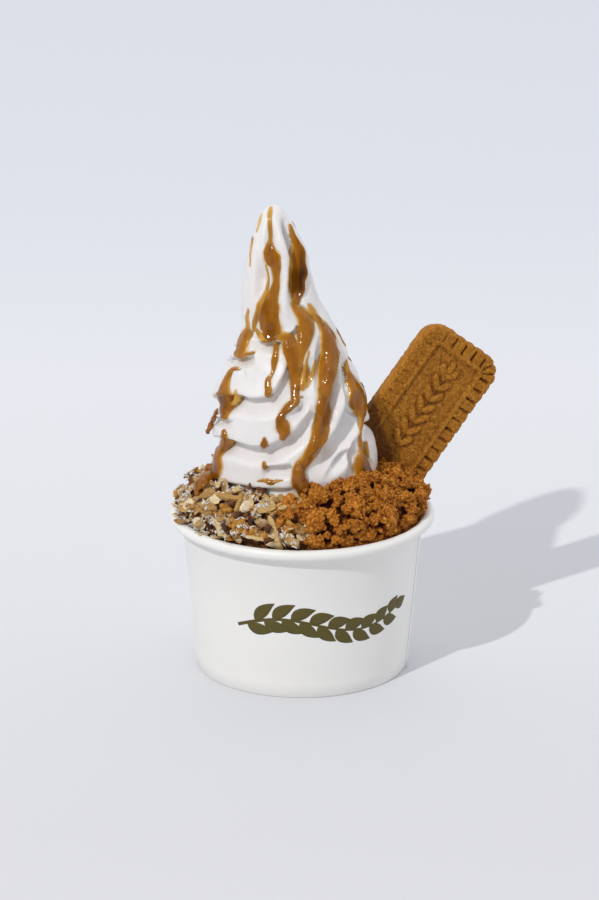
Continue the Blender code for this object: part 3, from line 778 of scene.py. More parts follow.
def place_swirl(around, up):
    """The swirl's points: its rings lie closer together towards the tip, where the relief dies out."""
    angle = 360.0 * around - 90.0
    height = SWIRL_FOOT + (SWIRL_TOP - SWIRL_FOOT) * (1.0 - (1.0 - up) ** 1.2)
    bare = on_swirl(angle, height)
    half = swirl_outline(height)[1]
    return on_swirl(angle, height, swirl_relief(bare)[0] * np.minimum(1.0, half / TIP_HALF_WIDTH))


swirl = wrapped_grid("yogurt_swirl", SWIRL_SIDES, SWIRL_RINGS, place_swirl)
closed_up(swirl, merge=0.004 * MM, fill=True)
bpy.ops.object.shade_smooth()

finish, nodes, links, shader, place = new_finish("soft_yogurt", 0.42, 0.3)
yogurt_tone = noise_on(nodes, links, place, 6 * MM, 3.0)
yogurt_colour = colours_by(
    nodes, links, yogurt_tone, ((0.35, (0.82, 0.795, 0.785)), (0.7, (0.865, 0.842, 0.835)))
)
stain = nodes.new("ShaderNodeMix")
stain.data_type = "RGBA"
stain.inputs["B"].default_value = STAIN
links.new(value_of(nodes, "stain"), stain.inputs["Factor"])
links.new(yogurt_colour, stain.inputs["A"])
links.new(stain.outputs["Result"], shader.inputs["Base Color"])
shader.inputs["Subsurface Weight"].default_value = 0.4
shader.inputs["Subsurface Radius"].default_value = (1.0, 0.8, 0.7)
shader.inputs["Subsurface Scale"].default_value = 2.0 * MM
shader.inputs["Coat Weight"].default_value = 0.15
shader.inputs["Coat Roughness"].default_value = 0.3
ice = noise_on(nodes, links, place, 0.5 * MM, 3.0)
wet = noise_on(nodes, links, place, 3.5 * MM, 2.0)
ice_bump = bump_from(nodes, links, ice, 0.03 * MM, 0.5)
links.new(bump_from(nodes, links, wet, 0.12 * MM, 0.5, ice_bump), shader.inputs["Normal"])
swirl.data.materials.append(finish)
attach(swirl, "root")
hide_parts("yogurt")

# The sauce is a smooth caramelised biscuit spread, thin enough to run. It goes down the folds of the swirl
# in glossy rounded runs that end in drops, and where it lies thin the light comes through it golden.
# Each run is how thick it lies, then pixels of the front view with its half width there, in pixels too.
# A thicker run is also darker in colour; runs in shaded folds are made thick partly as painted shade.
SAUCE_RUNS = (
    (0.45, ((271, 206, 1.5), (270, 214, 2.4), (270, 226, 2.2), (270.5, 236, 2.0), (269.5, 244, 3.0))),
    (1.0, ((269.5, 244, 3.2), (270, 251, 6.0), (273, 259, 8.0), (276, 267, 5.0), (276.5, 277, 3.6),
           (275.5, 286, 4.2), (273.5, 294, 5.2), (270, 302, 8.5), (269, 312, 10.0), (270, 322, 10.0),
           (271, 331, 10.5), (268, 337, 7.0))),
    (0.6, ((266, 265, 0.9), (268, 276, 1.1), (267.5, 287, 1.5), (264, 297, 2.5), (260, 306, 3.6),
           (257.5, 315, 3.8), (255, 323, 2.4), (253, 331, 1.2))),
    (0.8, ((248, 309, 0.8), (247, 318, 1.8), (248, 325, 2.2), (246.5, 332, 4.0), (244, 340, 4.8),
           (242.5, 347, 6.0), (240, 353, 6.5))),
    (0.9, ((236, 355, 1.8), (241, 354, 3.0), (248, 354, 2.4), (254, 352.5, 1.6))),
    (1.15, ((239, 369, 1.2), (233, 369, 2.0), (229, 374, 2.6), (226.5, 382, 3.6), (225, 390, 5.0),
            (225.5, 397, 7.8), (226.5, 404, 6.8), (225, 410, 5.0), (225, 416, 3.6))),
    (0.5, ((236, 390, 1.0), (236, 398, 2.2), (233, 404, 2.0))),
    (0.7, ((215, 397, 2.4), (214, 401, 1.4))),
    (1.0, ((275, 343, 1.6), (275.5, 349, 3.1), (275, 358, 3.3), (274, 366, 2.8), (272, 373, 1.9),
           (268.5, 380, 2.9), (268, 386, 3.4), (268.8, 391, 3.9), (268.8, 394, 3.4))),
    (1.0, ((286, 338, 4.5), (290, 346, 8.0), (293.5, 356, 9.0), (295, 366, 8.0), (295, 376, 5.8),
           (295.5, 386, 5.2), (295, 394, 4.4), (294.5, 401, 4.6), (289, 407, 4.6), (283, 413, 3.6),
           (281, 419, 5.0), (283, 426, 7.2), (284.5, 433, 6.0), (283.5, 438, 3.8))),
    (0.5, ((299, 398, 0.8), (303, 397, 0.7))),
    (0.75, ((293, 303, 2.6), (298, 310, 5.0), (304, 318, 7.2), (306, 327, 8.2), (305, 336, 8.0),
            (303, 345, 6.6), (300, 354, 5.0), (298, 364, 4.6))),
    (0.6, ((276, 335, 3.4), (283, 337, 5.2), (290, 338.5, 5.0))),
    (0.35, ((256, 329, 2.0), (261, 336, 3.4), (268, 339, 4.0))),
    (0.2, ((262, 213, 0.8), (259.5, 221, 1.2), (257, 232, 0.8))),
    (0.4, ((309, 352, 1.2), (306.5, 362, 1.6), (306, 371, 4.0), (305, 380, 4.4), (302, 388, 3.2))),
    (0.3, ((316, 361, 1.4), (314, 370, 2.6), (311, 379, 2.2), (307, 387, 1.4))),
    (1.35, ((289, 224, 1.0), (292, 234, 2.4), (296, 244, 4.2), (298.5, 254, 5.8),
           (298.5, 264, 6.4), (297.5, 274, 7.4), (296.5, 284, 7.4), (296, 293, 6.4), (295.5, 301, 4.0))),
    (0.35, ((291, 246, 1.2), (290.5, 262, 1.4), (289.5, 280, 1.6), (290.5, 296, 1.2))),
    (0.6, ((309.5, 305, 1.8), (312, 311, 3.6), (317, 318, 3.2), (323, 326, 4.6))),
    (1.0, ((322, 324, 3.8), (326, 332, 5.8), (329, 342, 7.4), (329.5, 352, 8.8), (328.5, 362, 9.2),
           (327, 372, 9.0), (325.5, 382, 7.4), (324.5, 392, 6.6), (323.5, 402, 6.6), (323, 412, 7.2),
           (322.5, 422, 7.6), (320, 432, 7.6), (317.5, 441, 7.8), (313, 450, 7.2), (307, 459, 5.8),
           (301, 466, 6.2), (298.5, 474, 7.2), (299.5, 483, 7.4), (302, 491, 6.2))),
    (1.0, ((346, 360, 0.8), (347.5, 370, 2.0), (351, 379, 4.6), (355, 387, 6.8), (357, 396, 8.8),
           (358.5, 404, 8.4), (360, 411, 5.6), (361.5, 418, 3.0), (361, 426, 1.8), (359.5, 438, 1.5),
           (360, 449, 2.4), (360, 457, 5.6), (361, 465, 8.6), (363.5, 473, 8.6))),
    (0.5, ((365, 444, 2.6), (366, 450, 2.6), (368, 456, 1.4))),
    (1.3, ((224.5, 431, 1.8), (225, 438, 3.2), (224, 445, 4.0), (219.5, 450, 4.0), (217, 458, 4.6),
           (216.5, 465, 5.8), (213.5, 472, 7.4), (208, 480, 7.4), (203, 488, 5.2))),
    (1.0, ((264.5, 438.5, 1.6), (264.6, 443, 3.6), (264.6, 445.5, 3.7))),
    (0.8, ((263.2, 463, 1.6), (264.2, 465.5, 2.6), (264.8, 468, 2.4))),
    (0.8, ((258, 481, 1.0), (265, 480.3, 2.1), (271, 482, 3.2), (276, 480.6, 1.8), (283, 480, 0.8))),
    (0.4, ((252.5, 236, 0.7), (251, 250, 0.8), (249.5, 266, 0.7))),
)
BACK_RUNS = (
    (0.9, ((200, 157.0, 1.0), (207, 147.0, 1.8), (210, 136.0, 2.2), (206, 126.0, 1.8), (202, 118.0, 2.0),
           (205, 111.0, 1.5), (208, 106.0, 1.9))),
    (0.8, ((243, 153.0, 0.8), (248, 143.0, 1.6), (250, 133.0, 2.0), (249, 124.0, 1.6), (246, 117.0, 2.1))),
    (0.9, ((290, 156.0, 0.9), (292, 146.0, 1.7), (293, 136.0, 2.2), (296, 127.0, 1.7), (300, 118.0, 1.9),
           (301, 110.0, 1.3), (303, 103.0, 1.9))),
)
SAUCE_SIDES = 600
SAUCE_RINGS = 360
SAUCE_FOOT = 62.0
SAUCE_SKIRT = -0.22
SAUCE_TUCK = 1.6
SAUCE_SKIN = 0.5
SAUCE_LEAST = 0.35
SAUCE_SWELL = 0.42
SAUCE_MOST = 1.45
SAUCE_DARKEST = 1.9
BRIDGE_ROUNDS = 50
PIXEL_SIZE = CAMERA_DISTANCE / FOCAL_PIXELS / MM
OFF_VIEW = -1e6
BEHIND = -0.25
NO_COVER = -9.0
MEET_FROM = -0.4
MEET_RISE = 0.10
STAIN_REACH = -1.15
STAIN_MOST = 0.75


def sauce_cover(points, pixels):
    """For points of the swirl: how far inside the sauce they are, 1 in the middle of a run, 0 at its edge
    and less outside, and how thick the sauce is in the middle there."""
    cover = np.full(len(points), NO_COVER)
    thickest = np.ones(len(points))
    from_front = pixels[:, 0] > OFF_VIEW / 2
    for runs, places, size in ((SAUCE_RUNS, pixels, PIXEL_SIZE), (BACK_RUNS, points, 1.0)):
        for thick, run in runs:
            *spot, half = drawn_through(run)
            line = np.stack(spot, 1) if runs is SAUCE_RUNS else on_swirl(*spot)
            gaps, number, _ = nearest_along(places, line, 1.6 * half.max())
            near = np.flatnonzero(np.isfinite(gaps) & (from_front | (runs is BACK_RUNS)))
            width = half[number[near]]
            inside = 1.0 - (gaps[near] / width) ** 2
            old = cover[near]
            meet = (old > MEET_FROM) & (inside > MEET_FROM)
            joined = MEET_RISE * np.exp(-10.0 * (old - inside) ** 2)
            cover[near] = np.maximum(old, inside) + np.where(meet, joined, 0.0)
            deep = thick * np.minimum(SAUCE_SWELL * width * size + SAUCE_LEAST, SAUCE_MOST)
            share = smooth_between(-0.15, 0.15, inside - old)
            thickest[near] = thickest[near] * (1.0 - share) + deep * share
    return cover, thickest


def side_fade(points, angle):
    """How much the cover falls off where the runs that the front view shows go on round the sides."""
    front = np.sin(np.radians(angle)) + 0.07 * lumpy(points, 9.0, 27)
    backward = (angle > 184.0) & (angle < 356.0)
    return np.where(backward, 0.0, 2.2 * smooth_between(0.16, -0.10, front))


sauce_seen = {}


def place_sauce(around, up):
    """A skin on the whole swirl: it fills the folds under the runs, and dips into the yogurt beside them."""
    angle = 360.0 * around - 90.0
    height = SAUCE_FOOT + (SWIRL_TOP - 0.4 - SAUCE_FOOT) * up
    bare = on_swirl(angle, height)
    half = swirl_outline(height)[1]
    tip = np.minimum(1.0, half / TIP_HALF_WIDTH)
    sharp, soft = swirl_relief(bare)
    bridged = soft.reshape(-1, SAUCE_SIDES + 1)
    for _ in range(BRIDGE_ROUNDS):
        evened = (bridged[:-2] + 2.0 * bridged[1:-1] + bridged[2:]) / 4.0
        bridged = np.concatenate([bridged[:1], evened, bridged[-1:]])
    bridged = bridged.ravel()
    pixels = seen_by_camera(on_swirl(angle, height, bridged * tip))
    pixels += 0.7 * np.stack([lumpy(bare, 7.0, seed) for seed in (21, 22)], 1)
    pixels[np.sin(np.radians(angle)) < BEHIND] = OFF_VIEW
    cover, thickest = sauce_cover(bare, pixels)
    cover -= side_fade(bare, angle)
    thick = thickest * np.sqrt(np.clip(cover, 0.0, 1.0))
    thick = np.where(cover < 0.0, SAUCE_TUCK * np.maximum(cover, -0.5), thick)
    filled = np.maximum(sharp, bridged - 0.1)
    relief = sharp + (filled - sharp) * np.clip(cover * 2.0, 0.0, 1.0) + thick
    sauce_seen["cover"] = cover
    sauce_seen["thick"] = np.clip(thick / SAUCE_DARKEST, 0.0, 1.0)
    return on_swirl(angle, height, relief * tip)


def stain_swirl():
    """Keeps on the swirl how far the sauce at its edges has run into the yogurt."""
    spots = (points_of(swirl) - cup_centre) / MM
    pixels = seen_by_camera(spots)
    angle = np.arctan2(-spots[:, 1], swirl_outline(spots[:, 2])[0] - spots[:, 0])
    pixels[np.sin(angle) < BEHIND] = OFF_VIEW
    bare = on_swirl(np.degrees(angle), spots[:, 2])
    cover = sauce_cover(bare, pixels)[0] - side_fade(bare, np.degrees(angle))
    uneven = 0.5 + 0.5 * lumpy(bare, 6.0, 31)
    stains = np.clip(smooth_between(STAIN_REACH, 0.1, cover) * uneven, 0.0, STAIN_MOST)
    keep_value(swirl.data, "stain", stains)


stain_swirl()
sauce = wrapped_grid("biscuit_sauce", SAUCE_SIDES, SAUCE_RINGS, place_sauce)
keep_value(sauce.data, "depth", sauce_seen["thick"])
runs_mesh = bmesh.new()
runs_mesh.from_mesh(sauce.data)
runs_mesh.verts.ensure_lookup_table()
outside = [runs_mesh.verts[i] for i in np.flatnonzero(sauce_seen["cover"] < SAUCE_SKIRT)]
bmesh.ops.delete(runs_mesh, geom=outside, context="VERTS")
bmesh.ops.remove_doubles(runs_mesh, verts=runs_mesh.verts, dist=0.004 * MM)
bmesh.ops.recalc_face_normals(runs_mesh, faces=runs_mesh.faces)
runs_mesh.to_mesh(sauce.data)
runs_mesh.free()
only(sauce)
thicken = sauce.modifiers.new("body", "SOLIDIFY")
thicken.thickness = SAUCE_SKIN * MM
thicken.offset = -1.0
bpy.ops.object.modifier_apply(modifier=thicken.name)
bpy.ops.object.shade_smooth()


def multiplied(nodes, links, first, second):
    """One colour times another."""
    mix = nodes.new("ShaderNodeMix")
    mix.data_type = "RGBA"
    mix.blend_type = "MULTIPLY"
    mix.inputs["Factor"].default_value = 1.0
    links.new(first, mix.inputs["A"])
    links.new(second, mix.inputs["B"])
    return mix.outputs["Result"]


finish, nodes, links, shader, place = new_finish("biscuit_sauce", 0.11, 0.36)
# The colour darkens with the sauce's depth to near black: partly the sauce's own colour, partly painted shade
# for runs in shaded folds.
sauce_colour = colours_by(
    nodes, links, value_of(nodes, "depth"),
    ((0.0, (0.74, 0.50, 0.18)), (0.14, (0.60, 0.31, 0.045)), (0.34, (0.39, 0.150, 0.006)),
     (0.72, (0.31, 0.106, 0.002)), (1.0, (0.06, 0.017, 0.001))),
)
# Streaks along the runs: partly uneven thickness, partly painted reflection, with darker and bluish-white
# bands standing in for the reflected room.
streak_place = nodes.new("ShaderNodeMapping")
streak_place.inputs["Scale"].default_value = (1.0, 1.0, 0.3)
links.new(place, streak_place.inputs["Vector"])
streaks_and_painted_reflection = colours_by(
    nodes, links, noise_on(nodes, links, streak_place.outputs["Vector"], 4.0 * MM, 1.5),
    ((0.36, (0.72, 0.66, 0.58)), (0.52, (1.0, 1.0, 1.0)), (0.66, (1.1, 1.13, 1.2))),
)
links.new(multiplied(nodes, links, sauce_colour, streaks_and_painted_reflection), shader.inputs["Base Color"])
shader.inputs["Subsurface Weight"].default_value = 0.12
shader.inputs["Subsurface Radius"].default_value = (1.0, 0.4, 0.08)
shader.inputs["Subsurface Scale"].default_value = 0.9 * MM
ripple = noise_on(nodes, links, streak_place.outputs["Vector"], 2.6 * MM, 1.5)
links.new(bump_from(nodes, links, ripple, 0.5 * MM, 0.8), shader.inputs["Normal"])
sauce.data.materials.append(finish)
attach(sauce, "root")
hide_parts("yogurt")

# The crumble is broken caramelised biscuit, in lumps from sand to the size of a hazelnut. It is spooned on
# round the right of the swirl and heaped up to it. Each lump is porous and sandy, the gaps between darkened
# by painted shade.
# Shares run from the heap's outer edge (0) to the swirl (1).
HEAP_INNER = 27.9
HEAP_EDGE = 40.6
HEAP_SHOULDER = 42.6
HEAP_FOOT = 57.2
FILL_HEIGHT = 50.4
HEAP_INTO_SWIRL = 2.6
CRUMBLE_ANGLES = (92.0, 275.0)
CRUMBLE_LUMPS = 560
CLUMP_SIZE = 10.5
CLUMP_RISE = 1.7
CRUMBLE_SPILLED = 40
SPILL_REACH = 13.0
SPILL_SHARES = (0.25, 0.67)
GAP_SWELL = -0.85
CRUMBLE_SINK = 3.3
CRUMBLE_VOXEL = 0.43
CRUMBLE_ROUGHNESS = ((3.1, 0.5), (1.5, 0.6), (0.8, 0.5))
LOOSE_CRUMBS = 6300
CRUMB_DROP = 1.5
# The largest lumps are pixels of the front view with a radius.
BIG_LUMPS = ((315, 520, 5.0), (301, 532, 3.2), (352, 508, 4.4), (383, 515, 5.2), (404, 500, 3.8),
             (333, 488, 3.6), (371, 484, 3.6), (395, 474, 3.4), (345, 541, 3.2), (420, 492, 3.2),
             (292, 505, 3.0), (366, 532, 3.4))


def crumble_rise(angle):
    """How far the crumble is heaped up over its foot: most at the front, less towards the back."""
    return 17.5 - 3.5 * smooth_between(130.0, 185.0, angle)


def granola_rise(angle):
    """How far the granola is heaped up over its foot: less towards the back."""
    return 13.0 - 4.0 * smooth_between(40.0, -5.0, angle)


def heap_top(angle, share, rise):
    """Points of a heap's domed top, in millimetres from the cup's axis, with their outward normals."""
    turn = share * math.pi / 2
    radius = HEAP_INNER + (HEAP_SHOULDER - HEAP_INNER) * np.cos(turn)
    height = HEAP_FOOT + rise * np.sin(turn)
    near = np.clip((HEAP_EDGE - radius) / (HEAP_EDGE - HEAP_INNER), 0.0, 1.0)
    centre = SWIRL_OUTLINE[1][1] * near
    side = np.stack([-np.cos(np.radians(angle)), -np.sin(np.radians(angle)), 0.0 * angle], 1)
    place = side * radius[:, None]
    place[:, 0] += centre
    place[:, 2] = height
    lean = np.stack([np.cos(turn) * rise, np.sin(turn) * (HEAP_SHOULDER - HEAP_INNER)], 1)
    lean /= np.linalg.norm(lean, axis=1)[:, None]
    normal = side * lean[:, :1]
    normal[:, 2] = lean[:, 1]
    return place, normal


def heap_core(name, angles, rise_at, sink):
    """A closed sector of the ring, its foot on the yogurt inside the cup, its top sunk below the heap's."""
    shares = np.linspace(0.0, 1.0, 9)

    def place_core(around, up):
        """Rows up the outside, over the top from its edge to the swirl, and down inside the swirl."""
        angle = angles[0] + (angles[1] - angles[0]) * around
        step = np.rint(up * 12).astype(int)
        top, normal = heap_top(angle, shares[np.clip(step - 3, 0, 8)], rise_at(angle))
        side = np.stack([-np.cos(np.radians(angle)), -np.sin(np.radians(angle)), 0.0 * angle], 1)
        placed = top - sink * normal
        inner = HEAP_INNER - HEAP_INTO_SWIRL
        for number, radius, height in ((0, inner, FILL_HEIGHT), (1, HEAP_EDGE - 0.5, FILL_HEIGHT),
                                       (2, HEAP_EDGE - 0.2, HEAP_FOOT - 1.0), (12, inner, None)):
            rows = step == number
            placed[rows, :2] = side[rows, :2] * radius
            placed[rows, 0] += SWIRL_OUTLINE[1][1] if radius == inner else 0.0
            placed[rows, 2] = top[rows, 2] - sink if height is None else height
        return placed

    core = wrapped_grid(name, 60, 12, place_core)
    closed_up(core, fill=True, triangles=True)
    return core


def turned_to(normal, rng, tilt=0.0):
    """A random turn whose Z axis points along a normal, tilted at random by up to the given angle."""
    off = rng.normal(size=3) * math.tan(tilt) * 0.6
    upright = Vector(np.asarray(normal) + off).to_track_quat("Z", "Y").to_matrix()
    return np.array(upright @ Matrix.Rotation(rng.uniform(0, 2 * math.pi), 3, "Z"))


def scattered(name, kind, copies, shape_of):
    """Joins copies of one small piece to one mesh. Each copy is (place, turn), and shape_of gives a copy's
    own form from the piece's points. Each point keeps its copy's random tone."""
    count = len(kind.data.vertices)
    base = points_of(kind) / MM
    faces = [tuple(face.vertices) for face in kind.data.polygons]
    points, all_faces, tones = [], [], []
    for number, (place, turn) in enumerate(copies):
        points.append(shape_of(base.copy(), number) @ np.asarray(turn).T + place)
        all_faces += [tuple(index + number * count for index in face) for face in faces]
        tones += [(number * 0.618034) % 1.0] * count
    points = np.concatenate(points) * MM + cup_centre
    mesh = bpy.data.meshes.new(name)
    mesh.from_pydata(points.tolist(), [], all_faces)
    keep_value(mesh, "tone", np.array(tones))
    piece = bpy.data.objects.new(name, mesh)
    bpy.context.scene.collection.objects.link(piece)
    bpy.data.objects.remove(kind)
    only(piece)
    return piece


def kept_in_cup(piece, over_rim=False):
    """Draws in the points that would go through the cup's wall, and lifts those over the rim on to it."""
    spots = points_of(piece)
    radius = np.hypot(spots[:, 0] - cup_axis, spots[:, 1])
    if over_rim:
        across = np.clip((radius - bead_centre[0]) / BEAD_RADIUS, -1.0, 1.0)
        bead_top = bead_centre[1] + BEAD_RADIUS * np.sqrt(1.0 - across**2)
        outside = radius > CUP_TOP_RADIUS
        spots[:, 2] = np.where(outside, np.maximum(spots[:, 2], bead_top), spots[:, 2])
    most = np.where(spots[:, 2] < cup_height, HEAP_EDGE * MM, CUP_TOP_RADIUS)
    low = spots[:, 2] < (HEAP_FOOT + 0.2) * MM
    if over_rim:
        low &= ~outside
    share = np.where(low, np.minimum(1.0, most / np.maximum(radius, MM)), 1.0)
    spots[:, 0] = cup_axis + (spots[:, 0] - cup_axis) * share
    spots[:, 1] *= share
    move_points(piece, spots)


def small_ball(parts):
    """A ball of 1 mm radius to shape copies from."""
    deselect_all()
    bpy.ops.mesh.primitive_ico_sphere_add(subdivisions=parts, radius=MM)
    return bpy.context.object


def merged(piece, others, voxel):
    """Joins other solids to a piece and makes one skin round them all, of the given fineness."""
    deselect_all()
    for other in others:
        other.select_set(True)
    piece.select_set(True)
    bpy.context.view_layer.objects.active = piece
    bpy.ops.object.join()
    skin = piece.modifiers.new("skin", "REMESH")
    skin.mode = "VOXEL"
    skin.voxel_size = voxel * MM
    bpy.ops.object.modifier_apply(modifier=skin.name)
    bpy.ops.object.shade_smooth()
    return piece


def normals_of(piece):
    """The outward direction at each of a piece's points."""
    flat = np.empty(len(piece.data.vertices) * 3)
    piece.data.vertices.foreach_get("normal", flat)
    return flat.reshape(-1, 3)


def roughened(piece, layers):
    """Moves a piece's surface in and out by noise. Each layer is (size, height), in millimetres."""
    spots = points_of(piece)
    moves = np.zeros(len(spots))
    for size, height in layers:
        moves += height * np.array([noise.noise(Vector(spot)) for spot in spots / MM / size])
    move_points(piece, spots + normals_of(piece) * moves[:, None] * MM)


def keep_hollows(piece, rounds, scale):
    """Keeps how hollow the surface is at each point as an attribute, 0 on crests and 1 in the gaps."""
    start = points_of(piece) / MM
    count = len(start)
    edges = np.empty(len(piece.data.edges) * 2, int)
    piece.data.edges.foreach_get("vertices", edges)
    left, right = edges.reshape(-1, 2).T
    share = np.bincount(left, minlength=count) + np.bincount(right, minlength=count)
    spots = start
    for _ in range(rounds):
        spots = np.stack([
            np.bincount(left, spots[right, k], count) + np.bincount(right, spots[left, k], count)
            for k in range(3)
        ], 1) / np.maximum(share, 1)[:, None]
    rise = ((start - spots) * normals_of(piece)).sum(axis=1)
    keep_value(piece.data, "hollow", np.clip(0.5 - rise / scale, 0.0, 1.0))


def skin_of(piece):
    """A piece's surface, for finding where a line of sight or a falling piece meets it."""
    return BVHTree.FromObject(piece, bpy.context.evaluated_depsgraph_get())


crumble = heap_core("crumble_heap", CRUMBLE_ANGLES, crumble_rise, CRUMBLE_SINK)
rng = np.random.default_rng(41)
angles = rng.uniform(CRUMBLE_ANGLES[0] - 1.5, CRUMBLE_ANGLES[1] + 1.5, CRUMBLE_LUMPS)
angles[:CRUMBLE_SPILLED] = CRUMBLE_ANGLES[0] - SPILL_REACH * rng.uniform(0.0, 1.0, CRUMBLE_SPILLED)
shares = rng.uniform(0.0, 1.0, CRUMBLE_LUMPS)
spill_width = SPILL_SHARES[1] - SPILL_SHARES[0]
shares[:CRUMBLE_SPILLED] = SPILL_SHARES[0] + spill_width * shares[:CRUMBLE_SPILLED]
sizes = 0.8 + 2.6 * rng.uniform(0.0, 1.0, CRUMBLE_LUMPS) ** 1.8
tops, normals = heap_top(angles, shares, crumble_rise(angles))
swells = lumpy(tops, CLUMP_SIZE, 5)
kept = swells > GAP_SWELL
tops, normals, sizes, swells = tops[kept], normals[kept], sizes[kept], swells[kept]
tops = tops + normals * CLUMP_RISE * np.clip(swells, -1.2, 1.0)[:, None]
lump_copies = []
for top, normal, size in zip(tops, normals, sizes):
    place = top - normal * (CRUMBLE_SINK * rng.uniform(0.1, 0.9) + 0.35 * size)
    lump_copies.append((place, turned_to(rng.normal(size=3), rng)))
core_skin = skin_of(crumble)
for across, down, size in BIG_LUMPS:
    spot = core_skin.ray_cast(eye, seen_at((across, down), 0.0) - eye)[0]
    if spot:
        place = np.array(spot - Vector((cup_axis, 0.0, 0.0))) / MM
        lump_copies.append((place, turned_to(rng.normal(size=3), rng)))
        sizes = np.append(sizes, size)
squash = rng.uniform(0.62, 1.15, (len(sizes), 3))


def lump_shape(points, number):
    """A crumb: a ball pushed out of round, with a few flat breaks."""
    flat = np.random.default_rng(number).normal(size=(5, 3))
    flat /= np.linalg.norm(flat, axis=1)[:, None]
    for direction in flat:
        over = points @ direction - 0.72
        points = points - np.maximum(over, 0.0)[:, None] * direction
    return points * squash[number] * sizes[number]


lumps = scattered("lumps", small_ball(3), lump_copies, lump_shape)
merged(crumble, [lumps], CRUMBLE_VOXEL)
roughened(crumble, CRUMBLE_ROUGHNESS)
keep_hollows(crumble, 34, 2.3)

crumb_angles = rng.uniform(CRUMBLE_ANGLES[0] - 5.0, CRUMBLE_ANGLES[1], LOOSE_CRUMBS)
crumb_shares = rng.uniform(0.0, 0.97, LOOSE_CRUMBS)
crumb_sizes = 0.28 + 0.5 * rng.uniform(0.0, 1.0, LOOSE_CRUMBS) ** 2
crumble_skin = skin_of(crumble)


def dropped_on(skin, place, normal, sink):
    """Where a piece let go above a place along a normal comes to rest on a skin, or None beside it."""
    centre = Vector(np.asarray(place) * MM) + Vector((cup_axis, 0.0, 0.0))
    away = Vector(normal)
    hit, face_normal, _, _ = skin.ray_cast(centre + away * 9 * MM, -away, 16 * MM)
    if hit is None:
        return None
    spot = (hit - Vector((cup_axis, 0.0, 0.0))) / MM - face_normal * sink
    return np.array(spot), np.array(face_normal)


tops, normals = heap_top(crumb_angles, crumb_shares, crumble_rise(crumb_angles))
tops = tops + normals * CLUMP_RISE * np.clip(lumpy(tops, CLUMP_SIZE, 5), -0.6, 1.0)[:, None]
crumb_copies, crumb_at = [], []
for number in range(LOOSE_CRUMBS):
    rest = dropped_on(crumble_skin, tops[number], normals[number], -0.1)
    if rest and rest[0][2] > HEAP_FOOT - 1.0 and (tops[number] - rest[0]) @ normals[number] < CRUMB_DROP:
        crumb_copies.append((rest[0], turned_to(rng.normal(size=3), rng)))
        crumb_at.append(crumb_sizes[number])


def crumb_shape(points, number):
    """A grain of sand: a ball of a few faces with each point pushed about."""
    return points * crumb_at[number] * np.random.default_rng(number).uniform(0.6, 1.3, points.shape)


loose = scattered("loose_crumbs", small_ball(1), crumb_copies, crumb_shape)

finish, nodes, links, shader, place = new_finish("biscuit_crumb", 0.8, 0.25)
grain = noise_on(nodes, links, place, 0.9 * MM, 5.0, 0.7)
patch = noise_on(nodes, links, place, 6 * MM, 2.0)
grain_colour = colours_by(
    nodes, links, grain,
    ((0.34, (0.27, 0.066, 0.003)), (0.5, (0.60, 0.210, 0.015)), (0.66, (0.95, 0.485, 0.10))),
)
patch_colour = colours_by(nodes, links, patch, ((0.35, (0.80, 0.74, 0.68)), (0.65, (1.0, 1.0, 1.0))))
# Painted shade: the hollows between the lumps are darkened, nearly to black in the deepest.
painted_relief_shading = colours_by(
    nodes, links, value_of(nodes, "hollow"),
    ((0.44, (1.0, 1.0, 1.0)), (0.57, (0.46, 0.32, 0.18)), (0.74, (0.10, 0.03, 0.01))),
)
toned_and_shaded = multiplied(nodes, links, multiplied(nodes, links, grain_colour, patch_colour), painted_relief_shading)
links.new(toned_and_shaded, shader.inputs["Base Color"])
sand = noise_on(nodes, links, place, 0.6 * MM, 5.0, 0.75)
links.new(bump_from(nodes, links, sand, 0.6 * MM, 1.0), shader.inputs["Normal"])
for piece in (crumble, loose):
    kept_in_cup(piece)
    piece.data.materials.append(finish)
    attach(piece, "root")
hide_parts("crumble")

# The granola is toasted oats, split almonds, seeds and coconut round the left of the swirl, with a few
# baked clusters. The pieces lie loose and flat on a bed of the same, in every direction; the bed is coloured
# dark as painted shade for the gaps.
GRANOLA_ANGLES = (-85.0, 94.0)
GRANOLA_SINK = 2.0
GRANOLA_LUMPS = 260
GRANOLA_VOXEL = 0.5
OAT_FLAKES = 250
GRANOLA_CLUMPS = 1.5
# The sauce's run on the granola is pixels of the front view with its half width, in pixels too. Nothing is
# strewn within SAUCE_CLEAR pixels of it, back to CLEAR_BACK millimetres behind the cup's axis.
SAUCE_OVER_GRANOLA = ((218.5, 456, 3.6), (216.5, 463, 5.6), (212.5, 471, 7.0), (207.5, 479, 7.4),
                      (203, 486, 6.6), (199, 493, 5.0), (196, 500, 3.4))
SAUCE_CLEAR = 7.0
CLEAR_BACK = 8.0
OAT_SIZE = (2.6, 1.9, 0.42)
ALMONDS = 46
# The larger slivers are two pixels of the front view, one at each end, with half a width in millimetres.
LAID_ALMONDS = (((188, 511), (223, 495), 2.3), ((220, 520), (232, 539), 1.6), ((284, 533), (300, 548), 1.5),
                ((176, 505), (200, 498), 1.5), ((232, 478), (243, 492), 1.6), ((196, 488), (212, 480), 1.5),
                ((170, 490), (186, 484), 2.2), ((205, 507), (222, 512), 1.4), ((246, 486), (240, 502), 1.5))
LAID_THICKNESS = 1.2
LAID_LIFT = 3.1
ALMOND_SIZE = (5.6, 1.35, 0.8)
COCONUT_SHREDS = 1800
COCONUT_PATCH = 8.5
PATCH_FROM = 0.2
SHRED_SIZE = (0.85, 0.42, 0.2)
SPILL_ANGLES = (-42.0, 50.0)
SPILLED_OATS = 36
SPILLED_COCONUT = 230
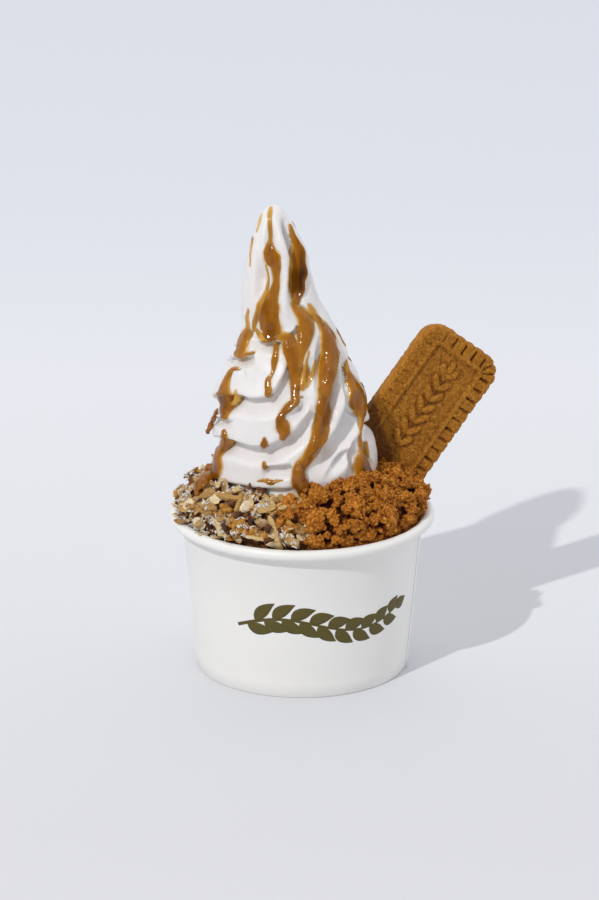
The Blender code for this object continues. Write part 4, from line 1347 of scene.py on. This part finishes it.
# Baked lumps, dark bits and pale flakes are pixels of the front view, the lumps with a size and the flakes
# with half a length and half a width in millimetres.
BAKED_LUMPS = ((241, 527, 3.4), (252, 533, 2.8), (229, 511, 1.8), (193, 481, 2.6), (199, 473, 1.8))
DARK_BITS = ((245, 514), (250, 518), (254, 522), (243, 519), (193, 472), (198, 475), (254, 497), (259, 500),
             (264, 498), (230, 527), (272, 528), (208, 506), (186, 497), (217, 533), (236, 509))
BITS_IN_SPOT = 3
BIT_LIFT = 2.7
PALE_FLAKES = ((266, 513, 3.9, 2.7), (222, 503, 2.6, 1.9), (238, 497, 2.4, 1.7), (177, 497, 2.9, 2.1))
FLAKE_THICKNESS = 0.5
SEEDS = 110
SEED_SIZE = (1.25, 0.85, 0.6)
CLUSTERS = 20
CLUSTER_SIZE = 2.2
CLUSTER_BALLS = 9
CLUSTER_SPREAD = (0.52, 0.4, 0.22)
CLUSTER_VOXEL = 0.4
BAKED_LIFT = 2.0
BAKED_BALLS = 14

granola = heap_core("granola_bed", GRANOLA_ANGLES, granola_rise, GRANOLA_SINK)
even_skin = skin_of(granola)
rim_skin = skin_of(cup_wall)
rng = np.random.default_rng(7)
bed_angles = rng.uniform(GRANOLA_ANGLES[0], GRANOLA_ANGLES[1], GRANOLA_LUMPS)
bed_sizes = rng.uniform(0.8, 2.2, GRANOLA_LUMPS)
tops, normals = heap_top(bed_angles, rng.uniform(0.0, 1.0, GRANOLA_LUMPS), granola_rise(bed_angles))
bed_swells = GRANOLA_CLUMPS * np.clip(lumpy(tops, 9.0, 12), -1.2, 1.0)
bed_copies = [
    (top - normal * (GRANOLA_SINK * 0.9 - swell), turned_to(rng.normal(size=3), rng))
    for top, normal, swell in zip(tops, normals, bed_swells)
]
bed_squash = rng.uniform(0.6, 1.2, (GRANOLA_LUMPS, 3))


def bed_lump_shape(points, number):
    """A lump of the bed: a ball squashed by chance."""
    return points * bed_squash[number] * bed_sizes[number]


bed_lumps = scattered("bed_lumps", small_ball(3), bed_copies, bed_lump_shape)
merged(granola, [bed_lumps], GRANOLA_VOXEL)
roughened(granola, ((2.2, 0.6), (0.9, 0.4)))
keep_hollows(granola, 10, 1.3)
bed_skin = skin_of(granola)


def resting_on(skins, place, normal, sink):
    """Where a piece let go above a place comes to rest on the highest of some skins, or None."""
    rests = [dropped_on(skin, place, normal, sink) for skin in skins]
    rests = [rest for rest in rests if rest]
    return max(rests, key=lambda rest: rest[0] @ np.asarray(normal)) if rests else None


def laid_on_granola(count, lift, tilt, seed, skins=(bed_skin,)):
    """Places and turns for pieces strewn over the granola bed, clear of the sauce's run on it."""
    spread = np.random.default_rng(seed)
    angles = spread.uniform(GRANOLA_ANGLES[0] + 2.0, GRANOLA_ANGLES[1] - 1.0, count)
    shares = spread.uniform(0.0, 0.95, count)
    tops, normals = heap_top(angles, shares, granola_rise(angles))
    run = np.array(SAUCE_OVER_GRANOLA)[:, :2]
    copies = []
    for top, normal in zip(tops, normals):
        rest = resting_on(skins, top, normal, -lift * spread.uniform(0.2, 1.0))
        if rest is None:
            continue
        clear = np.linalg.norm(seen_by_camera(rest[0][None]) - run, axis=1).min() > SAUCE_CLEAR
        if clear or rest[0][1] > CLEAR_BACK:
            copies.append((rest[0], turned_to(0.75 * np.array(normal) + 0.25 * rest[1], spread, tilt)))
    return copies


def spilled_on_rim(count, lift, seed):
    """Places and turns for pieces that lie over the cup's rim at the left."""
    spread = np.random.default_rng(seed)
    angles = np.radians(spread.uniform(*SPILL_ANGLES, count))
    copies = []
    for angle, radius in zip(angles, spread.triangular(39.0, 41.5, 44.6, count)):
        place = (-math.cos(angle) * radius, -math.sin(angle) * radius, HEAP_FOOT + 3.0)
        rest = resting_on((bed_skin, rim_skin), place, (0.0, 0.0, 1.0), -lift * spread.uniform(0.3, 1.0))
        if rest:
            copies.append((rest[0], turned_to(0.5 * rest[1] + np.array([0.0, 0.0, 0.5]), spread, 0.4)))
    return copies


def seen_on_granola(across, down):
    """The point of the even heap at a pixel of the front view, with its normal, in millimetres."""
    spot, normal, _, _ = even_skin.ray_cast(eye, seen_at((across, down), 0.0) - eye)
    if spot is None:
        return None
    return (np.array(spot) - cup_centre) / MM, np.array(normal)


def bent(points, size, number, curl):
    """A copy's own form: scaled, of its own length and width, and curled along its length."""
    own = np.random.default_rng(number + 1000)
    points = points * np.array(size) * np.array([own.uniform(0.55, 1.4), own.uniform(0.6, 1.35), 1.0])
    points[:, 2] += own.uniform(-curl, curl) * points[:, 0] ** 2 / size[0]
    points[:, 1] += own.uniform(-0.6, 0.6) * curl * points[:, 0] ** 2 / size[0]
    return points


def oat_shape(points, number):
    """A rolled oat: a thin oval with a crease along its middle."""
    crease = 0.35 * np.exp(-((points[:, 1] / 0.22) ** 2)) * (1.0 - points[:, 0] ** 2)
    points[:, 2] = points[:, 2] * (0.75 + 0.4 * np.abs(points[:, 1])) - crease * np.sign(points[:, 2]) * 0.6
    return bent(points, OAT_SIZE, number, 0.35)


def almond_shape(points, number):
    """A split almond sliver: a stick with blunt ends, flat below and a little waisted."""
    points[:, 1:] = np.clip(points[:, 1:], -0.62, 0.62) * (1.0 + 0.25 * np.abs(points[:, 0:1]))
    return bent(points, ALMOND_SIZE, number, 0.16)


def shred_shape(points, number):
    """A shred of coconut: a thin curled ribbon."""
    return bent(points, SHRED_SIZE, number, 0.3)


def seed_shape(points, number):
    """A seed or a scrap of dark toasted fruit."""
    return bent(points, SEED_SIZE, number, 0.1)


def small_stick(segments, rings=6):
    """A ball of 1 mm radius with its rings across X, to shape sticks and ribbons from."""
    deselect_all()
    bpy.ops.mesh.primitive_uv_sphere_add(
        segments=segments, ring_count=rings, radius=MM, rotation=(0, math.pi / 2, 0)
    )
    stick = bpy.context.object
    bpy.ops.object.transform_apply()
    return stick


oats = scattered(
    "granola_oats", small_ball(2),
    laid_on_granola(OAT_FLAKES, 0.9, 0.55, 11) + spilled_on_rim(SPILLED_OATS, 1.0, 16), oat_shape,
)
bpy.ops.object.shade_smooth_by_angle(angle=math.radians(60))
almonds = scattered("granola_almonds", small_stick(8), laid_on_granola(ALMONDS, 1.5, 0.3, 12), almond_shape)
bpy.ops.object.shade_smooth_by_angle(angle=math.radians(40))

laid_copies, laid_sizes = [], []
for start, end, half_width in LAID_ALMONDS:
    ends = [seen_on_granola(*pixel) for pixel in (start, end)]
    if None in ends:
        continue
    length = np.linalg.norm(ends[1][0] - ends[0][0])
    along = (ends[1][0] - ends[0][0]) / length
    across = np.cross(ends[0][1] + ends[1][1] + np.array(camera_back), along)
    across /= np.linalg.norm(across)
    up = np.cross(along, across)
    laid_copies.append(((ends[0][0] + ends[1][0]) / 2 + up * LAID_LIFT, np.array([along, across, up]).T))
    laid_sizes.append((length / 2, 0.85 * half_width, LAID_THICKNESS))
for across, down, long, wide in PALE_FLAKES:
    spot = seen_on_granola(across, down)
    if spot:
        laid_copies.append((spot[0] + spot[1] * LAID_LIFT, turned_to(spot[1], rng, 0.3)))
        laid_sizes.append((long, wide, FLAKE_THICKNESS))


def laid_shape(points, number):
    """A larger sliver or flake: a ball of its own size, a little squared."""
    squared = np.sign(points) * np.abs(points) ** np.array([0.9, 0.8, 0.8])
    return squared * np.array(laid_sizes[number])


laid = scattered("laid_almonds", small_stick(24, 14), laid_copies, laid_shape)
bpy.ops.object.shade_smooth_by_angle(angle=math.radians(50))
roughened(laid, ((2.4, 1.3), (1.1, 1.0)))
seed_copies = laid_on_granola(SEEDS, 0.8, 0.8, 14)
for pixel in DARK_BITS:
    spot = seen_on_granola(*pixel)
    for _ in range(BITS_IN_SPOT if spot else 0):
        place = spot[0] + spot[1] * BIT_LIFT + 0.7 * rng.normal(size=3)
        seed_copies.append((place, turned_to(spot[1], rng, 0.6)))
seeds = scattered("granola_seeds", small_ball(2), seed_copies, seed_shape)
bpy.ops.object.shade_smooth()
cluster_copies, cluster_sizes = [], []
cluster_at = [(*copy, CLUSTER_SIZE, CLUSTER_BALLS) for copy in laid_on_granola(CLUSTERS, 0.6, 0.5, 15)]
for across, down, size in BAKED_LUMPS:
    spot = seen_on_granola(across, down)
    if spot:
        cluster_at.append((spot[0] + spot[1] * BAKED_LIFT, turned_to(spot[1], rng), size, BAKED_BALLS))
for place, turn, size, balls in cluster_at:
    for _ in range(balls):
        off = rng.normal(size=3) * np.array(CLUSTER_SPREAD) * size
        cluster_copies.append((place + np.asarray(turn) @ off, turned_to(rng.normal(size=3), rng)))
        cluster_sizes.append(rng.uniform(0.7, 1.4, 3) * (0.6 + 0.16 * size))


def cluster_shape(points, number):
    """A part of a cluster: a ball squashed by chance."""
    return points * cluster_sizes[number]


clusters = scattered("granola_clusters", small_ball(2), cluster_copies, cluster_shape)
merged(clusters, [], CLUSTER_VOXEL)
roughened(clusters, ((1.0, 0.35),))
keep_hollows(clusters, 8, 0.8)
top_skins = [skin_of(piece) for piece in (granola, clusters, oats, laid)]
shred_copies = laid_on_granola(COCONUT_SHREDS, 0.5, 0.8, 13, top_skins)
patches = lumpy(np.array([place for place, _ in shred_copies]), COCONUT_PATCH, 33)
shred_copies = [copy for copy, patch in zip(shred_copies, patches) if patch > PATCH_FROM]
shreds = scattered(
    "granola_coconut", small_stick(4), shred_copies + spilled_on_rim(SPILLED_COCONUT, 1.2, 17), shred_shape
)
bpy.ops.object.shade_smooth()


def grain_finish(name, roughness, size, dark, middle, light, per_piece):
    """A toasted grain's finish: three colours by a mottle of the given size, and by each small piece's own
    tone or, on one skin, with painted shade darkening its hollows."""
    finish, nodes, links, shader, place = new_finish(name, roughness, 0.3)
    mottle = noise_on(nodes, links, place, size * MM, 4.0, 0.65)
    if per_piece:
        blend = nodes.new("ShaderNodeMath")
        blend.operation = "MULTIPLY_ADD"
        blend.inputs[1].default_value = 0.45
        links.new(value_of(nodes, "tone"), blend.inputs[0])
        half = nodes.new("ShaderNodeMath")
        half.operation = "MULTIPLY"
        half.inputs[1].default_value = 0.6
        links.new(mottle, half.inputs[0])
        links.new(half.outputs[0], blend.inputs[2])
        colour = colours_by(nodes, links, blend.outputs[0], ((0.2, dark), (0.5, middle), (0.72, light)))
    else:
        colour = colours_by(nodes, links, mottle, ((0.3, dark), (0.5, middle), (0.7, light)))
        # Painted shade: the skin's hollows are darkened.
        shade = colours_by(
            nodes, links, value_of(nodes, "hollow"), ((0.45, (1.0, 1.0, 1.0)), (0.85, (0.25, 0.16, 0.10)))
        )
        colour = multiplied(nodes, links, colour, shade)
    links.new(colour, shader.inputs["Base Color"])
    fine = noise_on(nodes, links, place, 0.6 * MM, 4.0, 0.7)
    links.new(bump_from(nodes, links, fine, 0.4 * MM, 0.9), shader.inputs["Normal"])
    return finish


# Each finish is its roughness, the size of its mottle, three colours, and whether each piece has its tone.
granola_finishes = (
    # The bed's colours are kept dark as painted shade for the gaps between the pieces.
    (granola, "toasted_bed_in_painted_shade", 0.8, 1.6,
     (0.030, 0.008, 0.002), (0.13, 0.045, 0.010), (0.40, 0.20, 0.065), False),
    (oats, "toasted_oats", 0.7, 1.0,
     (0.20, 0.075, 0.012), (0.54, 0.325, 0.115), (0.88, 0.74, 0.51), True),
    (almonds, "toasted_almond", 0.6, 1.0,
     (0.30, 0.13, 0.025), (0.54, 0.31, 0.09), (0.76, 0.56, 0.27), True),
    (laid, "sliced_almond", 0.6, 0.8,
     (0.34, 0.15, 0.03), (0.64, 0.42, 0.16), (0.88, 0.74, 0.47), True),
    (shreds, "coconut", 0.6, 1.0,
     (0.62, 0.50, 0.38), (0.78, 0.72, 0.64), (0.86, 0.83, 0.79), True),
    (seeds, "dark_seeds", 0.5, 1.0,
     (0.026, 0.010, 0.007), (0.075, 0.024, 0.010), (0.19, 0.062, 0.020), True),
    (clusters, "baked_cluster", 0.38, 1.4,
     (0.24, 0.075, 0.005), (0.50, 0.22, 0.025), (0.74, 0.43, 0.11), False),
)
for piece, *finish in granola_finishes:
    kept_in_cup(piece, over_rim=piece in (oats, shreds))
    piece.data.materials.append(grain_finish(*finish))
    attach(piece, "root")
    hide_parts("granola")

# Three runs of the sauce go on past the swirl's folds: one hangs as a drip at its left, one lies on the
# granola and one ends on the crumble. Each has the skin that it lies on, if it isn't the swirl's, and how
# far it lies over it, then pixels of the front view with its half width.
RUNS_OVER = (
    ("sauce_drip", None, 0.0, (
        (218, 408, 2.4), (215.5, 413, 3.2), (213.5, 419, 3.0), (210.5, 426, 3.5), (208, 431, 3.4),
        (206.5, 434, 2.4),
    )),
    ("sauce_over_granola", bed_skin, 1.6, SAUCE_OVER_GRANOLA),
    ("sauce_over_crumble", crumble_skin, 1.4, (
        (302, 464, 4.5), (299.5, 471, 6.0), (299, 478, 6.6), (301, 485, 6.6), (304, 491, 5.0),
        (306, 496, 3.0),
    )),
)
RUN_SAMPLES = 8
RUN_SIDES = 20
RUN_SWELL = 0.6
RUN_MOST = 1.3
RUN_DEPTH = 0.62


def run_over(name, skin, lift, route):
    """A rounded run of sauce along pixels of the front view, laid on a heap and the swirl behind it."""
    across, down, half = drawn_through(route, RUN_SAMPLES)
    spots = nearest_seen(across, down)
    for number, spot_pixel in enumerate(zip(across, down) if skin else ()):
        hit = skin.ray_cast(eye, seen_at(spot_pixel, 0.0) - eye)[0]
        if hit is None:
            continue
        hit = np.array(hit) / MM - cup_centre / MM
        if (hit - spots[number]) @ np.array(camera_back) > 0.0:
            spots[number] = hit
    for _ in range(6):
        spots[1:-1] = (spots[:-2] + 2.0 * spots[1:-1] + spots[2:]) / 4.0
    along = np.gradient(spots, axis=0)
    along /= np.linalg.norm(along, axis=1)[:, None]
    side = np.cross(along, np.array(camera_back + camera_up))
    side /= np.linalg.norm(side, axis=1)[:, None]
    up = np.cross(side, along)
    up *= np.sign((up * np.array(camera_back)).sum(axis=1))[:, None]
    share = np.linspace(0.0, 1.0, len(spots))
    ends = np.sqrt(np.clip(np.minimum(share / 0.16, (1.0 - share) / 0.14), 0.0, 1.0))
    wide = half * PIXEL_SIZE * ends
    high = np.minimum(RUN_SWELL * half * PIXEL_SIZE, RUN_MOST) * ends

    def place_run(around, up_share):
        """Rings round the run's middle, wide across and lower over it."""
        row = np.clip(np.rint(up_share * (len(spots) - 1)).astype(int), 0, len(spots) - 1)
        turn = 2.0 * math.pi * around
        return (spots[row] + up[row] * (lift + high[row] * np.sin(turn))[:, None]
                + side[row] * (wide[row] * np.cos(turn))[:, None])

    run = wrapped_grid(name, RUN_SIDES, len(spots) - 1, place_run)
    closed_up(run, merge=0.003 * MM)
    bpy.ops.object.shade_smooth()
    keep_value(run.data, "depth", np.full(len(run.data.vertices), RUN_DEPTH))
    run.data.materials.append(sauce.data.materials[0])
    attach(run, "root")
    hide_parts("yogurt")


for run in RUNS_OVER:
    run_over(*run)

# The biscuit is thin, hard and fine grained, pressed from a carved mould: its edge is scalloped, each
# scallop runs in as a short rib, and a raised frame stands round a sunk field with a plain ear of grain.
BISCUIT_LENGTH = 62.0
BISCUIT_WIDTH = 31.5
BISCUIT_THICKNESS = 6.6
BISCUIT_CORNER = 7.5
BISCUIT_CENTRE = (39.2, 14.0, 85.4)
BISCUIT_LEAN = math.radians(37.0)
BISCUIT_BACK = math.radians(4.0)
BISCUIT_YAW = math.radians(12.0)
LOBES = 42
LOBE_DEPTH = 0.75
ROWS_ROUND = LOBES * 14
ROWS_IN = 64
RIM_ROWS = 0.6
RIB_LENGTH = 5.3
GROOVE_DEPTH = 1.25
GROOVE_START = (0.7, 2.0)
FRAME_INSET = 5.9
FRAME_HEIGHT = 0.55
FIELD_INSET = 7.0
FIELD_DEPTH = 0.45
EDGE_ROUND = 1.8
EDGE_DROP = 1.9
EAR_STEM = 19.0
EAR_GRAINS = 7
EAR_START = -12.0
EAR_STEP = 4.6
EAR_LEAN = 0.62
EAR_HEIGHT = 0.95
# Painted shadow: where the swirl's shadow on the biscuit starts and where it is full, in millimetres.
SWIRL_SHADOW_EDGE = (29.6, 27.2)


def edge_point(share):
    """The rounded outline without its scallops, at shares of the way round: places and outward normals."""
    half = np.array([BISCUIT_LENGTH / 2 - BISCUIT_CORNER, BISCUIT_WIDTH / 2 - BISCUIT_CORNER])
    quarter = BISCUIT_CORNER * math.pi / 2
    runs = [2 * half[1], quarter, 2 * half[0], quarter] * 2
    marks = np.concatenate([[0.0], np.cumsum(runs)])
    way = (share % 1.0) * marks[-1]
    place = np.zeros((len(share), 2))
    normal = np.zeros((len(share), 2))
    corners = ((1, 1), (-1, 1), (-1, -1), (1, -1))
    for number in range(4):
        facing = number * math.pi / 2
        face = np.array([math.cos(facing), math.sin(facing)])
        along = np.array([-face[1], face[0]])
        reach = abs(face @ half) + BISCUIT_CORNER
        rows = (way >= marks[2 * number]) & (way < marks[2 * number + 1])
        step = way[rows] - marks[2 * number] - runs[2 * number] / 2
        place[rows] = face * reach + along * step[:, None]
        normal[rows] = face
        rows = (way >= marks[2 * number + 1]) & (way < marks[2 * number + 2])
        turn = facing + (way[rows] - marks[2 * number + 1]) / BISCUIT_CORNER
        out = np.stack([np.cos(turn), np.sin(turn)], 1)
        place[rows] = half * np.array(corners[number]) + BISCUIT_CORNER * out
        normal[rows] = out
    return place, normal


def ear_of_grain(x, y):
    """The height of the plain ear in the field: a stem with grains in pairs, and one at its end."""
    height = 0.5 * np.exp(-((y / 0.45) ** 2)) * (np.abs(x) < EAR_STEM)
    for number in range(EAR_GRAINS):
        middle = EAR_START + EAR_STEP * number
        for side in (-1.0, 1.0):
            along = (x - middle) * math.cos(EAR_LEAN) + side * y * math.sin(EAR_LEAN)
            across = -(x - middle) * math.sin(EAR_LEAN) + side * y * math.cos(EAR_LEAN)
            inside = 1.0 - ((along - 3.0) / 2.9) ** 2 - ((across - 0.2) / 1.25) ** 2
            height = np.maximum(height, EAR_HEIGHT * np.sqrt(np.maximum(inside, 0.0)))
    inside = 1.0 - ((x - EAR_STEM - 1.0) / 2.6) ** 2 - (y / 1.2) ** 2
    return np.maximum(height, EAR_HEIGHT * np.sqrt(np.maximum(inside, 0.0)))


def biscuit_face(around, inward, front):
    """Points of one face. Rows run in from the edge, which both faces share, to the middle line."""
    place, normal = edge_point(around)
    lobe = np.abs(np.sin(math.pi * LOBES * around))
    half = np.array([BISCUIT_LENGTH / 2, BISCUIT_WIDTH / 2])
    deep = np.where(inward < RIM_ROWS, inward / RIM_ROWS * BISCUIT_CORNER, BISCUIT_CORNER)
    line = place - normal * deep[:, None]
    rest = np.clip((inward - RIM_ROWS) / (1.0 - RIM_ROWS), 0.0, 1.0)[:, None]
    spine = np.stack([np.clip(line[:, 0], half[1] - half[0], half[0] - half[1]), 0.0 * around], 1)
    line = line * (1.0 - rest) + spine * rest
    worn = 0.2 + 0.8 * smooth_between(11.0, -1.0, line[:, 1])
    grow = LOBE_DEPTH * worn * (lobe - 1.0) * np.clip(1.0 - deep / RIB_LENGTH, 0.0, 1.0)
    line = line + normal * grow[:, None]
    inset = half - np.abs(line)
    edge = np.minimum(inset[:, 0], inset[:, 1])
    corner = np.maximum(BISCUIT_CORNER - inset, 0.0)
    edge = np.where((corner > 0).all(axis=1), BISCUIT_CORNER - np.linalg.norm(corner, axis=1), edge)
    edge = np.maximum(edge, 0.0)
    rim = np.clip(1.0 - edge / EDGE_ROUND, 0.0, 1.0)
    height = BISCUIT_THICKNESS / 2 - EDGE_DROP * (1.0 - np.sqrt(1.0 - rim**2))
    if front:
        groove = smooth_between(0.52, 0.1, lobe) * smooth_between(RIB_LENGTH + 0.2, RIB_LENGTH - 0.5, edge)
        groove *= worn * smooth_between(*GROOVE_START, edge) * (0.8 + 0.3 * lumpy(line, 14.0, 9))
        frame = np.exp(-(((edge - FRAME_INSET) / 0.7) ** 2))
        field = smooth_between(FIELD_INSET - 0.6, FIELD_INSET + 0.4, edge)
        height += FRAME_HEIGHT * frame - 0.1 - GROOVE_DEPTH * groove - FIELD_DEPTH * field
        height += ear_of_grain(line[:, 0], line[:, 1]) * field
    return line, height


def place_biscuit(around, up):
    """Both faces, from the middle of the back over the edge to the middle of the front, leaned into place."""
    front = up >= 0.5
    inward = np.abs(up - 0.5) * 2.0
    line = np.empty((len(around), 2))
    height = np.empty(len(around))
    for rows, is_front in ((front, True), (~front, False)):
        line[rows], height[rows] = biscuit_face(around[rows], inward[rows] ** 1.15, is_front)
        if not is_front:
            height[rows] *= -1.0
    middle = inward < 1e-6
    height[middle] = 0.0
    flat = np.stack([line[:, 0], line[:, 1], height], 1)
    turn = (Matrix.Rotation(BISCUIT_YAW, 3, "Z") @ Matrix.Rotation(-BISCUIT_BACK, 3, "X")
            @ Matrix.Rotation(BISCUIT_LEAN, 3, "Y") @ Matrix.Rotation(math.pi / 2, 3, "X"))
    flat = flat[:, [1, 0, 2]] * np.array([-1.0, 1.0, 1.0])
    return flat @ np.array(turn).T + np.array(BISCUIT_CENTRE)


biscuit = wrapped_grid("baked_biscuit", ROWS_ROUND, 2 * ROWS_IN, place_biscuit)
closed_up(biscuit, merge=0.003 * MM)
roughened(biscuit, ((3.0, 0.18), (1.1, 0.20), (0.6, 0.16)))
keep_hollows(biscuit, 16, 0.9)
bpy.ops.object.shade_smooth()
# Painted shadow: the swirl's cast shadow on the biscuit's lower left is kept as a value, 1 left of a
# slanting, wavy line.
spots = (points_of(biscuit) - cup_centre) / MM
swirl_shadow_line = spots[:, 0] + 0.30 * (spots[:, 2] - 80.0) + 1.2 * lumpy(spots, 12.0, 33)
keep_value(biscuit.data, "painted_shadow", smooth_between(*SWIRL_SHADOW_EDGE, swirl_shadow_line))

finish, nodes, links, shader, place = new_finish("baked_biscuit", 0.72, 0.25)
grain = noise_on(nodes, links, place, 0.8 * MM, 5.0, 0.75)
patch = noise_on(nodes, links, place, 9 * MM, 3.0)
grain_colour = colours_by(
    nodes, links, grain,
    ((0.36, (0.27, 0.094, 0.004)), (0.5, (0.40, 0.158, 0.010)), (0.66, (0.58, 0.28, 0.045))),
)
patch_colour = colours_by(nodes, links, patch, ((0.35, (0.88, 0.84, 0.8)), (0.65, (1.0, 1.0, 1.0))))
# Painted light and shade: the crests of the biscuit's relief are lightened and its hollows darkened.
painted_relief_shading = colours_by(
    nodes, links, value_of(nodes, "hollow"),
    ((0.2, (1.12, 1.1, 1.05)), (0.5, (1.0, 1.0, 1.0)), (0.85, (0.5, 0.4, 0.3))),
)
# Painted shadow of the swirl, darkening the biscuit's lower left.
swirl_shadow_colour = colours_by(
    nodes, links, value_of(nodes, "painted_shadow"), ((0.0, (1.0, 1.0, 1.0)), (1.0, (0.40, 0.33, 0.27)))
)
toned_and_shaded = multiplied(nodes, links, multiplied(nodes, links, grain_colour, patch_colour), painted_relief_shading)
links.new(multiplied(nodes, links, toned_and_shaded, swirl_shadow_colour), shader.inputs["Base Color"])
sand = noise_on(nodes, links, place, 0.5 * MM, 4.0, 0.7)
links.new(bump_from(nodes, links, sand, 0.35 * MM, 1.0), shader.inputs["Normal"])
biscuit.data.materials.append(finish)
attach(biscuit, "root")
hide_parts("biscuit")
